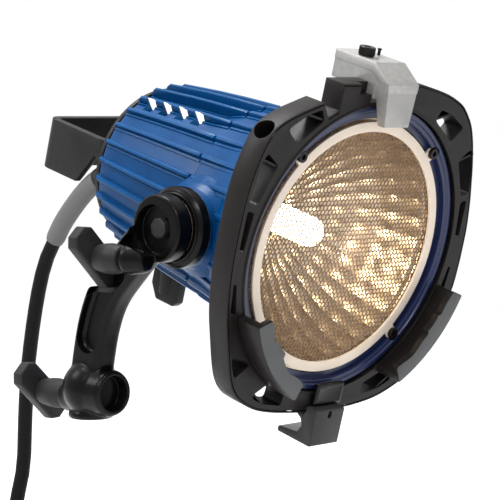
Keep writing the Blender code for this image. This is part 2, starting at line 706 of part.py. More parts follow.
def clipped(outline, radius, sides=48):
    """A convex outline trimmed to a disc round the origin."""
    reach = radius * math.cos(math.pi / sides)
    for k in range(sides):
        way = around(360 * (k + 0.5) / sides, 1.0).xy
        kept = []
        for p, q in zip(outline, outline[1:] + outline[:1]):
            dp, dq = reach - p.dot(way), reach - q.dot(way)
            if dp >= 0:
                kept.append(p)
            if (dp < 0) != (dq < 0):
                kept.append(p.lerp(q, dp / (dp - dq)))
        outline = kept
    return outline


def make_guard_mesh():
    """Wire guard: a disc with six-sided holes, as a filled flat curve."""
    reach = SEAT_RADIUS - GAP
    rings = [[around(360 * k / 60, reach).xy for k in range(60)]]
    corner = (NET_PITCH - NET_WIRE) / math.sqrt(3)
    full = 1.5 * math.sqrt(3) * corner ** 2
    rows = int(reach / NET_PITCH) + 3
    for i in range(-rows, rows + 1):
        for j in range(-rows, rows + 1):
            centre = Vector((NET_PITCH * (i + j / 2), NET_PITCH * j * math.sqrt(3) / 2))
            hole = clipped([centre + around(60 * k + 30, corner).xy for k in range(6)], reach - NET_RIM)
            area = sum(p.cross(q) for p, q in zip(hole, hole[1:] + hole[:1])) / 2
            if area > 0.22 * full:
                rings.append(hole)
    flat_sheet("guard_mesh", WIRE, rings, NET_BOTTOM + GAP, NET_TOP, lamp)
    print(f"holes in the guard: {len(rings) - 1}")


def make_guard_screws(top):
    seats = [(around(a, GUARD_SCREW_CIRCLE, top + GAP), UP) for a in GUARD_SCREW_ANGLES]
    screws("guard_screw", DARK_STEEL, lamp, seats, GUARD_SCREW_RADIUS, GUARD_SCREW_HEAD, 1.8 * MM,
           GUARD_SCREW_LENGTH)


def make_frame():
    """Black frame for accessories: a rounded square with windows, the hooks' roots and the latch's lugs."""
    bore = RIM_RADIUS + GAP
    edge = [Vector(p) * MM for p in FRAME_EDGE]
    made = piece("accessory_frame", FRAME_BLACK, slab(edge, FRAME_REAR, FRAME_FRONT), lamp)
    cut(made, rod(bore, (0, 0, FRAME_REAR - MM), (0, 0, FRAME_FRONT + MM), 60))
    low, high = FRAME_REAR - MM, FRAME_FRONT + MM
    windows = []
    for window in WINDOWS:
        for side in (1, -1):
            windows.append(slab([(side * x * MM, y * MM) for x, y in window], low, high))
    cut(made, merge(*windows))
    half = LATCH_WIDTH / 2 + SLIP
    cut(made, box((-half, NOTCH_FLOOR, low), (half, LUG_TOP + 9 * MM, high)))
    cut(made, box((-half - BLOCK_STEP.x, LUG_TOP - BLOCK_STEP.y, FRAME_FRONT - BLOCK_STEP.z),
                  (-half + MM, LUG_TOP + MM, high)))
    for a, b in HOOKS:
        join(made, sector(a, b, HOOK_OUTER - HOOK_WALL, HOOK_OUTER, FRAME_REAR + 3 * MM, FRAME_FRONT - GAP, 6))
    z, y = LATCH_PIN_PLACE
    cut(made, rod(LATCH_PIN_RADIUS + GAP, (-half - LUG_WIDTH - MM, y, z), (half + LUG_WIDTH + MM, y, z), 16))
    holes = []
    for a in FRAME_SCREW_ANGLES:
        seat = around(a, FRAME_SCREW_SEAT, FRAME_SCREW_LEVEL)
        cut(made, rod(ACCESS_HOLE, seat, around(a, 118 * MM, FRAME_SCREW_LEVEL), 16))
        holes.append(rod(FRAME_SCREW_RADIUS + SLIP, around(a, 84 * MM, FRAME_SCREW_LEVEL),
                         around(a, 96 * MM, FRAME_SCREW_LEVEL), 12))
    cut(made, merge(*holes))
    cut(made, rod(BRACKET_SCREW_RADIUS + GAP, (0, BRACKET_SCREW_LEVEL, -4 * MM), (0, BRACKET_SCREW_LEVEL, 8 * MM), 12))
    return made


def make_hooks():
    """Two hooks that stand on the frame's front face and hold an accessory's rim behind their lips."""
    for name, (a, b), (c, d) in zip(("frame_hook_right", "frame_hook_left"), HOOKS, HOOK_TEETH):
        wall = sector(a, b, HOOK_OUTER - HOOK_WALL, HOOK_OUTER, FRAME_FRONT + GAP, HOOK_FRONT - 0.4 * MM, 6)
        made = piece(name, FRAME_BLACK, wall, lamp)
        join(made, sector(a + 0.4, b - 0.4, HOOK_INNER, HOOK_OUTER - MM, HOOK_FRONT - HOOK_LIP, HOOK_FRONT, 6))
        join(made, sector(c, d, HOOK_TOOTH, HOOK_OUTER - 4 * MM, HOOK_FRONT - HOOK_LIP + 0.2 * MM,
                          HOOK_FRONT - 0.2 * MM, 2))


def make_frame_screws():
    seats = [(around(a, FRAME_SCREW_SEAT + GAP, FRAME_SCREW_LEVEL), around(a, 1.0)) for a in FRAME_SCREW_ANGLES]
    screws("frame_screw", DARK_STEEL, lamp, seats, FRAME_SCREW_RADIUS, FRAME_SCREW_HEAD, 3.0 * MM,
           FRAME_SCREW_LENGTH)


def make_latch(carrier):
    """Grey casting that swings on its pin and closes the frame's slot with a tongue."""
    z0, y0 = LATCH_PIN_PLACE
    outline = [(z * MM - z0, y * MM - y0) for z, y in LATCH_SIDE]
    made = piece("top_latch", CAST, side_slab(outline, -LATCH_WIDTH / 2, LATCH_WIDTH / 2), carrier, smooth=False)
    low, high = 76 * MM - y0 - MM, 101 * MM - y0
    for side in (-1, 1):
        wedge = [(side * LATCH_TIP_WIDTH / 2, low), (side * LATCH_WIDTH / 2, high), (side * 20 * MM, high),
                 (side * 20 * MM, low)]
        cut(made, slab(wedge, 8 * MM - z0, 20 * MM - z0))
    bevelled(made, 0.8 * MM, 1, 50)
    cut(made, rod(LATCH_PIN_RADIUS + GAP, (-20 * MM, 0, 0), (20 * MM, 0, 0), 16))
    x, screw_z = LATCH_SCREW_X, LATCH_SCREW_Z - z0
    cut(made, rod(LATCH_SCREW_SHANK + GAP, (x, 8 * MM, screw_z), (x, 20 * MM, screw_z), 16))
    top = 110.7 * MM - y0 + GAP
    screw = empty("latch_screw_axis", carrier, (x, 0, screw_z))
    knob = piece("latch_screw", BLACK, rod(LATCH_SCREW_HEAD, (0, top, 0), (0, top + LATCH_SCREW_HEIGHT, 0), 20), screw)
    join(knob, rod(LATCH_SCREW_SHANK, (0, 8.5 * MM, 0), (0, top + MM, 0), 16))
    peg = rod(0.9 * MM, (5 * MM, top, screw_z), (5 * MM, top + 4 * MM, screw_z), 10)
    piece("latch_stop_pin", DARK_STEEL, peg, carrier)
    pin = rod(LATCH_PIN_RADIUS, (-LATCH_WIDTH / 2 - LUG_WIDTH, y0, z0), (LATCH_WIDTH / 2 + LUG_WIDTH, y0, z0), 16)
    piece("latch_pin", STEEL, pin, lamp)


def make_bracket():
    outline = [(z * MM, y * MM) for z, y in BRACKET_SIDE]
    half = BRACKET_WIDTH / 2
    made = piece("bottom_bracket", CAST, side_slab(outline, -half, half), lamp, smooth=False)
    y = BRACKET_SCREW_LEVEL
    cut(made, rod(BRACKET_SCREW_RADIUS + GAP, (0, y, 0), (0, y, 20 * MM), 12))
    piece("bracket_screw", DARK_STEEL, rod(BRACKET_SCREW_RADIUS, (0, y, -3 * MM), (0, y, 12 * MM), 12), lamp)
    px, py = PAD_PLACE
    low = (px - PAD.x / 2, py - PAD.y / 2, FRAME_FRONT + GAP)
    high = (px + PAD.x / 2, py + PAD.y / 2, FRAME_FRONT + GAP + PAD.z)
    bevelled(piece("frame_pad", RUBBER, box(low, high), lamp, smooth=False), 0.8 * MM)


def make_cover():
    """Rear cover with air slots, its screws, and the strap handle with its two screws."""
    foot = HANDLE_FOOT_LOW + (HANDLE_HIGH - HANDLE_FOOT_LOW) / 2
    foot_x = HANDLE_WIDTH / 2 - HANDLE_FOOT_REACH / 2 - 4 * MM
    rings = [circle(COVER_RADIUS, 36)]
    for k in range(5):
        low, high = -40 * MM + k * 8 * MM, -36 * MM + k * 8 * MM
        rings.append([(-16 * MM, low), (16 * MM, low), (16 * MM, high), (-16 * MM, high)])
    bolts = [around(a, COVER_SCREW_CIRCLE).xy for a in COVER_SCREW_ANGLES] + [(foot_x, foot), (-foot_x, foot)]
    rings += [circle(COVER_SCREW_RADIUS + SLIP, 8, place) for place in bolts]
    flat_sheet("rear_cover", GREY, rings, COVER_REAR, COVER_FRONT, lamp)
    seats = [(around(a, COVER_SCREW_CIRCLE, COVER_REAR - GAP), -UP) for a in COVER_SCREW_ANGLES]
    screws("cover_screw", DARK_STEEL, lamp, seats, COVER_SCREW_RADIUS, 3.0 * MM, 1.8 * MM, COVER_SCREW_LENGTH)
    make_handle(foot_x, foot)


def make_handle(foot_x, foot):
    """Strap handle: a flat strip bent to a loop, cut away beside the cable."""
    half = (HANDLE_WIDTH - HANDLE_STRAP) / 2
    rear = HANDLE_REAR + HANDLE_STRAP / 2
    face = COVER_REAR - GAP - HANDLE_STRAP / 2
    r = HANDLE_BEND - HANDLE_STRAP / 2
    path = [(-half + HANDLE_FOOT_REACH, face)]
    for cx, cz, start in ((-half + r, face - r, 90), (-half + r, rear + r, 180), (half - r, rear + r, 270),
                          (half - r, face - r, 0)):
        for k in range(3):
            a = math.radians(start + 45 * k)
            path.append((cx + r * math.cos(a), cz + r * math.sin(a)))
    path.append((half - HANDLE_FOOT_REACH, face))
    bm = bmesh.new()
    low = [bm.verts.new((x, HANDLE_LOW, z)) for x, z in path]
    edges = [bm.edges.new(pair) for pair in zip(low, low[1:])]
    grown = bmesh.ops.extrude_edge_only(bm, edges=edges)
    top = [v for v in grown["geom"] if isinstance(v, bmesh.types.BMVert)]
    bmesh.ops.translate(bm, vec=(0, HANDLE_HIGH - HANDLE_LOW, 0), verts=top)
    made = piece("rear_handle", GREY, bm, lamp)
    wall = made.modifiers.new("strap", "SOLIDIFY")
    wall.thickness = HANDLE_STRAP
    wall.offset = 0.0
    wall.use_even_offset = True
    corner = COVER_REAR / MM
    notch = [(corner + 5, HANDLE_FOOT_LOW / MM), (corner - HANDLE_CUT / MM * 0.55, HANDLE_FOOT_LOW / MM),
             (corner - HANDLE_CUT / MM * 1.55, HANDLE_LOW / MM - 1), (corner + 5, HANDLE_LOW / MM - 1)]
    cut(made, side_slab([(z * MM, y * MM) for z, y in notch], -60 * MM, 60 * MM))
    holes = [rod(COVER_SCREW_RADIUS + SLIP, (s * foot_x, foot, face - 9 * MM), (s * foot_x, foot, face + 9 * MM), 12)
             for s in (-1, 1)]
    cut(made, merge(*holes))
    outside = face - HANDLE_STRAP / 2 - GAP
    seats = [(Vector((s * foot_x, foot, outside)), -UP) for s in (-1, 1)]
    screws("handle_screw", DARK_STEEL, lamp, seats, COVER_SCREW_RADIUS, 3.2 * MM, 2.0 * MM,
           HANDLE_STRAP + COVER_THICK)


def make_gland():
    """Angled cable gland on the cover, and the grey sleeve that leaves it."""
    x, y = GLAND_PLACE
    aim = Vector((0, -math.sin(GLAND_SLOPE), -math.cos(GLAND_SLOPE)))
    start = Vector((x, y, COVER_REAR - GAP))
    body = rod(GLAND_RADIUS, start - aim * 12 * MM, start + aim * GLAND_LENGTH, 20)
    geom = list(body.verts) + list(body.edges) + list(body.faces)
    trimmed = bmesh.ops.bisect_plane(body, geom=geom, plane_co=start, plane_no=(0, 0, 1), clear_outer=True)
    rim = [e for e in trimmed["geom_cut"] if isinstance(e, bmesh.types.BMEdge)]
    bmesh.ops.edgeloop_fill(body, edges=rim)
    bmesh.ops.recalc_face_normals(body, faces=body.faces)
    piece("cable_gland", GREY, body, lamp)
    route = [(x, yy * MM, zz * MM) for zz, yy in SLEEVE_ROUTE]
    points = smooth_points(route, 9 * MM)
    radii = [SLEEVE_RADIUS + (SLEEVE_TIP_RADIUS - SLEEVE_RADIUS) * k / (len(points) - 1) for k in range(len(points))]
    tube("strain_relief", SLEEVE_GREY, points, SLEEVE_RADIUS, lamp, 3, radii)


def strip(path, half, closed_ends=0):
    """Outline of a flat strip of even width along a path of (y, z) points, with square or round ends."""
    points = [Vector(p) for p in path]
    left, right = [], []
    for k, p in enumerate(points):
        before = points[max(k - 1, 0)]
        after = points[min(k + 1, len(points) - 1)]
        along = (after - before).normalized()
        side = Vector((-along.y, along.x)) * half
        left.append(p + side)
        right.append(p - side)
    caps = [[], []]
    for end in range(2):
        if not closed_ends:
            continue
        centre = points[-1] if end == 0 else points[0]
        start = (left[-1] if end == 0 else right[0]) - centre
        for k in range(1, closed_ends):
            turn = Matrix.Rotation(-math.pi * k / closed_ends, 2)
            caps[end].append(centre + turn @ start)
    return left + caps[0] + right[::-1] + caps[1]


def plate_yz(outline, left, right):
    """An outline in y and z of the yoke, made solid across x."""
    bm = slab([(y, z) for y, z in outline], left, right)
    turn = Matrix(((0, 0, 1, 0), (1, 0, 0, 0), (0, 1, 0, 0), (0, 0, 0, 1)))
    bmesh.ops.transform(bm, matrix=turn, verts=bm.verts)
    bmesh.ops.recalc_face_normals(bm, faces=bm.faces)
    return bm


def make_arm():
    """Curved arm with the stand socket at its foot and the pivot hub at its head."""
    path = [(p.x, p.y) for p in smooth_points([(y * MM, z * MM, 0) for y, z in ARM_PATH], 11 * MM)]
    outline = strip(path, ARM_WIDTH / 2)
    made = piece("yoke_arm", BLACK, plate_yz(outline, -ARM_THICK / 2, ARM_THICK / 2), yoke)
    bevelled(made, 3.2 * MM, 2, 60)
    axle = (PIVOT.y, PIVOT.z)
    join(made, rod(HUB_RADIUS, (HUB_OUTER, *axle), (HUB_INNER, *axle), 32))
    ball = bmesh.new()
    bmesh.ops.create_uvsphere(ball, u_segments=16, v_segments=8, radius=SOCKET_BALL,
                              matrix=Matrix.Translation((0, 0, SOCKET_BALL_LEVEL)))
    join(made, ball)
    join(made, rod(SOCKET_FLANGE, (0, 0, 0), (0, 0, SOCKET_FLANGE_THICK), 24))
    join(made, rod(PORT_RADIUS + 2.5 * MM, (0, -6 * MM, PORT_LEVEL), (0, -PORT_REACH, PORT_LEVEL), 24, PORT_RADIUS))
    join(made, rod(STAND_BOSS_RADIUS, (0, 5 * MM, STAND_LEVEL), (0, STAND_BOSS_END, STAND_LEVEL), 24))
    join(made, rod(TILT_BOSS_RADIUS, (TILT_SIDE, TILT_BOSS_START, TILT_LEVEL),
                   (TILT_SIDE, TILT_BOSS_END, TILT_LEVEL), 24))
    flute = strip([(y * MM, z * MM) for y, z in FLUTE_PATH], FLUTE_WIDTH / 2, 6)
    cut(made, plate_yz(flute, -ARM_THICK, -ARM_THICK / 2 + FLUTE_DEPTH))
    sweep = math.hypot(WING_LENGTH, WING_WIDTH) / 2 + 0.8 * MM
    face = TILT_BOSS_END + GAP + TILT_CONE_LENGTH
    cut(made, rod(sweep, (TILT_SIDE, face - 0.6 * MM, TILT_LEVEL), (TILT_SIDE, face + 18 * MM, TILT_LEVEL), 32))
    cut(made, rod(CONE_RADIUS + 0.8 * MM, (TILT_SIDE, TILT_BOSS_END, TILT_LEVEL), (TILT_SIDE, face, TILT_LEVEL), 32))
    cut(made, rod(SOCKET_BORE, (0, 0, -MM), (0, 0, SOCKET_DEPTH), 24))
    cut(made, rod(PORT_RECESS, (0, -PORT_REACH - MM, PORT_LEVEL), (0, -PORT_REACH + PORT_RECESS_DEPTH, PORT_LEVEL), 24))
    cut(made, rod(SHOE_RADIUS + GAP, (0, 0, STAND_LEVEL), (0, SOCKET_BORE + SHOE_LENGTH + 3.2 * MM, STAND_LEVEL), 20))
    cut(made, rod(SCREW_RADIUS + SLIP, (0, 0, STAND_LEVEL), (0, STAND_BOSS_END + MM, STAND_LEVEL), 20))
    cut(made, rod(SCREW_RADIUS + SLIP, (TILT_SIDE, TILT_BOSS_START + 4 * MM, TILT_LEVEL),
                  (TILT_SIDE, TILT_BOSS_END + MM, TILT_LEVEL), 20))
    cut(made, rod(HUB_RECESS, (-ARM_THICK, *axle), (HUB_FLOOR, *axle), 32))
    cut(made, rod(BOLT_RADIUS + SLIP, (HUB_FLOOR - MM, *axle), (HUB_INNER + MM, *axle), 24))
    return made


def make_wing_handle(name, screw_name, holder, cone_length, screw_in, angle):
    """Wing handle in its own frame: +Y points outwards, the origin is where its cone meets the boss."""
    w, t, c = WING_LENGTH / 2, WING_WIDTH / 2, WING_CORNER
    outline = [(-w + c, -t), (w - c, -t), (w, -t + c), (w, t - c), (w - c, t), (-w + c, t), (-w, t - c), (-w, -t + c)]
    bm = slab(outline, cone_length, cone_length + WING_THICK)
    turn = Matrix.Rotation(math.radians(-90), 4, "X") @ Matrix.Rotation(-angle, 4, "Z")
    bmesh.ops.transform(bm, matrix=turn, verts=bm.verts)
    made = piece(name, GREY, bm, holder, smooth=False)
    bevelled(made, 1.0 * MM, 1, 30)
    join(made, rod(CONE_RADIUS, (0, GAP, 0), (0, cone_length + MM, 0), 20, CONE_TIP_RADIUS))
    cut(made, rod(SCREW_RADIUS + GAP, (0, -MM, 0), (0, cone_length - 3 * MM, 0), 16))
    shank = rod(SCREW_RADIUS, (0, -screw_in, 0), (0, cone_length - 3.4 * MM, 0), 16)
    piece(screw_name, STEEL, shank, holder)


def make_clamps():
    stand = empty("stand_handle_axis", yoke, (0, STAND_BOSS_END, STAND_LEVEL))
    shoe_back = SOCKET_BORE + SHOE_LENGTH
    make_wing_handle("stand_handle", "stand_screw", stand, STAND_CONE_LENGTH, STAND_BOSS_END - shoe_back - GAP,
                     STAND_WING_ANGLE)
    shoe = rod(SHOE_RADIUS, (0, 0, 0), (0, SHOE_LENGTH, 0), 16)
    piece("clamp_shoe", BRASS, shoe, empty("clamp_shoe_axis", yoke, (0, SOCKET_BORE, STAND_LEVEL)))
    tilt = empty("tilt_handle_axis", yoke, (TILT_SIDE, TILT_BOSS_END, TILT_LEVEL))
    make_wing_handle("tilt_handle", "tilt_screw", tilt, TILT_CONE_LENGTH, TILT_BOSS_END - TILT_BOSS_START - 5 * MM,
                     TILT_WING_ANGLE)


def make_pivot():
    """Friction washer on the arm, and the disc, bolt and nut that turn with the head."""
    axle = (PIVOT.y, PIVOT.z)
    washer = HUB_INNER + GAP
    made = piece("friction_washer", FIBRE, rod(WASHER_RADIUS, (washer, *axle), (washer + WASHER_THICK, *axle), 24), yoke)
    cut(made, rod(BOLT_RADIUS + SLIP, (washer - MM, *axle), (washer + 2 * MM, *axle)))
    a, z = -LAMP_RISE, -LAMP_REACH
    back = BOSS_FACE - GAP
    front = back - DISC_THICK
    c = DISC_CHAMFER
    profile = [(DISC_RADIUS - c, front), (DISC_RADIUS, front + c), (DISC_RADIUS, back), (BOLT_RADIUS + SLIP, back),
               (BOLT_RADIUS + SLIP, front)]
    disc = spun([(r, x) for r, x in profile], 32)
    bmesh.ops.transform(disc, matrix=ACROSS, verts=disc.verts)
    piece("pivot_disc", BLACK, disc, lamp, (0, a, z))
    seat = HUB_FLOOR - GAP - LAMP_SIDE
    head_end = seat - BOLT_HEAD_THICK
    bolt = piece("pivot_bolt", STEEL, rod(BOLT_HEAD, (head_end, a, z), (seat, a, z), 6), lamp)
    inside = BOSS_FACE + NUT_PAD_DEPTH
    join(bolt, rod(BOLT_RADIUS, (seat - MM, a, z), (inside + 7 * MM, a, z), 24))
    nut = piece("pivot_nut", STEEL, rod(NUT_RADIUS, (inside + GAP, a, z), (inside + GAP + NUT_THICK, a, z), 6), lamp)
    cut(nut, rod(BOLT_RADIUS + GAP, (inside - 2 * MM, a, z), (inside + 9 * MM, a, z), 24))


def tooth_line(pitch_radius, count, straight):
    """Corner points of teeth: (distance along the pitch line or circle, height over it)."""
    pitch = math.pi * MODULE
    corners = []
    for k in range(count):
        middle = k * pitch
        corners += [(middle - TOOTH_PITCH_HALF * 1.35, -TOOTH_ROOT), (middle - TOOTH_TIP, 0.7 * MODULE),
                    (middle + TOOTH_TIP, 0.7 * MODULE), (middle + TOOTH_PITCH_HALF * 1.35, -TOOTH_ROOT)]
    if straight:
        return corners
    return [((pitch_radius + h) * math.cos(s / pitch_radius), (pitch_radius + h) * math.sin(s / pitch_radius))
            for s, h in corners]


def make_focus():
    """Bulkhead, guide rods, carriage with rack, lamp holder, bulb, and the knob that drives them."""
    reach = housing_bore(BULKHEAD_Z) - 2 * MM
    made = turned("bulkhead", STEEL, [(reach, BULKHEAD_Z), (reach, BULKHEAD_Z - BULKHEAD_THICK),
                                      (HOLDER_PASSAGE, BULKHEAD_Z - BULKHEAD_THICK), (HOLDER_PASSAGE, BULKHEAD_Z)],
                  lamp, steps=32)
    cut(made, merge(*[rod(ROD_RADIUS + GAP, (s * ROD_SPREAD, 0, BULKHEAD_Z - 5 * MM),
                          (s * ROD_SPREAD, 0, BULKHEAD_Z + 5 * MM), 16) for s in (-1, 1)]))
    for name, side in (("guide_rod_left", -1), ("guide_rod_right", 1)):
        bar = rod(ROD_RADIUS, (side * ROD_SPREAD, 0, COVER_FRONT + GAP),
                  (side * ROD_SPREAD, 0, BULKHEAD_Z + 2 * MM), 16)
        piece(name, STEEL, bar, lamp)
    half = CARRIAGE_SIZE / 2
    carriage = piece("lamp_carriage", STEEL, box((-half.x, -half.y, CARRIAGE_Z - half.z),
                                                 (half.x, half.y, CARRIAGE_Z + half.z)), lamp, smooth=False)
    pitch_radius = MODULE * PINION_TEETH / 2
    pitch = math.pi * MODULE
    start = KNOB_Z - (RACK_TEETH / 2 - 0.5) * pitch
    teeth = [(pitch_radius - h, start + s) for s, h in tooth_line(pitch_radius, RACK_TEETH, True)]
    back = pitch_radius + RACK_BACK
    rack = [(back, start - 0.6 * pitch)] + [(x, z) for x, z in teeth] + [(pitch_radius + TOOTH_ROOT, CARRIAGE_Z),
                                                                    (back, CARRIAGE_Z)]
    rack.insert(1, (pitch_radius + TOOTH_ROOT, start - 0.6 * pitch))
    bar = slab([(x, z) for x, z in rack], -RACK_HIGH, -RACK_LOW)
    bmesh.ops.transform(bar, matrix=Matrix.Rotation(math.radians(90), 4, "X"), verts=bar.verts)
    bmesh.ops.recalc_face_normals(bar, faces=bar.faces)
    join(carriage, bar)
    cut(carriage, merge(*[rod(ROD_RADIUS + GAP, (s * ROD_SPREAD, 0, CARRIAGE_Z - 9 * MM),
                              (s * ROD_SPREAD, 0, CARRIAGE_Z + 9 * MM), 16) for s in (-1, 1)]))
    holder_rear = CARRIAGE_Z + half.z + GAP
    holder = piece("lamp_holder", CERAMIC, rod(HOLDER_RADIUS, (0, 0, holder_rear), (0, 0, HOLDER_FRONT), 20), lamp)
    pinch = BULB_PINCH / 2
    cut(holder, box((-pinch.x - GAP, -pinch.y - GAP, HOLDER_FRONT - 5 * MM), (pinch.x + GAP, pinch.y + GAP, 0)))
    base = HOLDER_FRONT - 5 * MM + GAP
    bulb = piece("bulb", QUARTZ, box((-pinch.x, -pinch.y, base), (pinch.x, pinch.y, base + BULB_PINCH.z)), lamp)
    glass = base + BULB_PINCH.z - 2 * MM
    join(bulb, rod(BULB_RADIUS, (0, 0, glass), (0, 0, glass + BULB_LENGTH), 16))
    join(bulb, rod(BULB_RADIUS, (0, 0, glass + BULB_LENGTH - 0.1 * MM), (0, 0, glass + BULB_LENGTH + 5 * MM), 16,
                   1.0 * MM))
    knob_axis = empty("focus_knob_axis", lamp, (0, 0, KNOB_Z))
    outline = tooth_line(pitch_radius, PINION_TEETH, False)
    pinion = slab(outline, -RACK_HIGH - 0.5 * MM, -RACK_LOW + 0.5 * MM)
    bmesh.ops.transform(pinion, matrix=Matrix.Rotation(math.radians(90), 4, "X"), verts=pinion.verts)
    bmesh.ops.recalc_face_normals(pinion, faces=pinion.faces)
    shaft = piece("focus_shaft", STEEL, pinion, knob_axis, smooth=False)
    join(shaft, rod(SHAFT_RADIUS, (0, KNOB_TOP - 10 * MM, 0), (0, RACK_HIGH + 4 * MM, 0), 16))
    half_l, half_t = KNOB_LENGTH / 2, KNOB_THICK / 2
    low = KNOB_LOW
    paddle = [(-half_l, KNOB_TOP), (-half_l, low + 9 * MM), (-half_l + 6 * MM, low), (half_l - 3 * MM, low),
              (half_l, low + 3 * MM), (half_l, KNOB_TOP)]
    knob = piece("focus_knob", GREY, side_slab(paddle, -half_t, half_t), knob_axis, smooth=False)
    bevelled(knob, 1.0 * MM, 1, 30)
    join(knob, rod(KNOB_HUB, (0, KNOB_TOP, 0), (0, low + 6 * MM, 0), 16))
    cut(knob, rod(SHAFT_RADIUS + GAP, (0, KNOB_TOP - 10.5 * MM, 0), (0, KNOB_TOP + MM, 0), 16))
    bush = piece("focus_bush", STEEL, rod(BUSH_RADIUS, (0, KNOB_TOP + GAP, KNOB_Z), (0, BUSH_HIGH, KNOB_Z), 16), lamp)
    cut(bush, rod(SHAFT_RADIUS + SLIP, (0, KNOB_TOP - MM, KNOB_Z), (0, BUSH_HIGH + MM, KNOB_Z), 16))


def coil_points():
    """Centre line of the coil: in to the middle on one layer, over, and out again on the next."""
    outer = COIL_INNER + COIL_TURNS * COIL_PITCH
    centre = COIL_START + Vector((outer, 0, -2 * CORD_RADIUS))
    points = [COIL_START]
    for k in range(2 * COIL_TURNS * COIL_POINTS + 1):
        turn = k / COIL_POINTS
        radius = COIL_INNER + COIL_PITCH * abs(turn - COIL_TURNS)
        climb = min(max((turn - COIL_TURNS + 0.25) / 0.5, 0), 1)
        angle = math.pi + math.tau * turn
        level = -COIL_PITCH * climb
        points.append(centre + Vector((radius * math.cos(angle), level, radius * math.sin(angle))))
    last = points[-1]
    points.append(last + (last - points[-2]).normalized() * (2 * CORD_RADIUS + TAIL))
    return points, centre, outer


def least_gap(points, radius):
    """Least gap of a wound tube to itself, measured between points at least half a turn apart."""
    least = 1.0
    for i, p in enumerate(points):
        for q in points[i + COIL_POINTS // 2:]:
            least = min(least, (p - q).length - 2 * radius)
    return least


def make_cord():
    route = [Vector(p) * MM for p in CORD_ROUTE]
    free = smooth_points(route, 2.4 * 2 * CORD_RADIUS)
    tube("cord", RUBBER, free, CORD_RADIUS, yoke, 2)
    points, centre, outer = coil_points()
    tube("cord_coil", RUBBER, points, CORD_RADIUS, yoke, 1)
    print(f"least gap in the coil: {least_gap(points, CORD_RADIUS) / MM:.2f} mm")
    length = sum((b - a).length for a, b in zip(points, points[1:]))
    length += sum((b - a).length for a, b in zip(free, free[1:]))
    print(f"cord and coil: {length:.3f} m")
    make_tie(centre, outer)
    make_plug(points)


def make_tie(centre, outer):
    """Strap round the bundle of turns at the coil's top."""
    inner_side = COIL_INNER - CORD_RADIUS - TIE_SLACK - 2.2 * MM
    outer_side = outer + CORD_RADIUS + TIE_SLACK + 1.2 * MM
    near = CORD_RADIUS + TIE_SLACK
    far = -COIL_PITCH - CORD_RADIUS - TIE_SLACK
    half = TIE_WIDTH / 2
    t = TIE_THICK
    band = box((-half, far - t, inner_side - t), (half, near + t, outer_side + t))
    made = piece("coil_tie", RUBBER, band, yoke, centre, smooth=False)
    cut(made, box((-half - MM, far, inner_side), (half + MM, near, outer_side)), centre)


def make_plug(points):
    """Plain round mains plug on the end of the coil, with two pins."""
    end = points[-1]
    aim = (points[-1] - points[-2]).normalized()
    holder = empty("plug_axis", yoke, end + aim * GAP)
    holder.rotation_euler = UP.rotation_difference(aim).to_euler()
    r, long = PLUG_RADIUS, PLUG_LENGTH
    neck = CORD_RADIUS + 1.6 * MM
    profile = [(0.0, long), (0.0, 0.0), (neck, 0.0), (neck + MM, 14 * MM), (r - 3 * MM, 24 * MM), (r, 34 * MM),
               (r, long)]
    body = turned("plug", RUBBER, profile[::-1], holder, steps=20)
    holes = [rod(PLUG_PIN_RADIUS + GAP, (s * PLUG_PIN_SPREAD, 0, long - 8 * MM),
                 (s * PLUG_PIN_SPREAD, 0, long + MM), 12) for s in (-1, 1)]
    cut(body, merge(*holes))
    for name, side in (("plug_pin_left", -1), ("plug_pin_right", 1)):
        pin = rod(PLUG_PIN_RADIUS, (side * PLUG_PIN_SPREAD, 0, long - 7.7 * MM),
                  (side * PLUG_PIN_SPREAD, 0, long + PLUG_PIN_LENGTH), 12)
        piece(name, BRASS, pin, holder)


def main():
    make_housing()
    make_bell()
    make_reflector()
    ring_top = make_guard_ring()
    make_guard_mesh()
    make_guard_screws(ring_top)
    make_frame()
    make_hooks()
    make_frame_screws()
    z, y = LATCH_PIN_PLACE
    make_latch(empty("latch_axis", lamp, (0, y, z)))
    make_bracket()
    make_cover()
    make_gland()
    make_arm()
    make_clamps()
    make_pivot()
    make_focus()
    make_cord()


main()
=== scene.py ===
"""Looks of an open-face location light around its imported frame, one operator for each piece.

Pieces are modelled in millimetres and taken to the row frame's metres where they are settled. Everything on
the head is made in lamp coordinates, with x across, y up and z forward from the middle of the wire guard, and
placed with the matrix LAMP. The yoke, the cable and the handles are made in the row frame's own directions.
"""
import json
import math

import bmesh
import bpy
from mathutils import Matrix, Vector


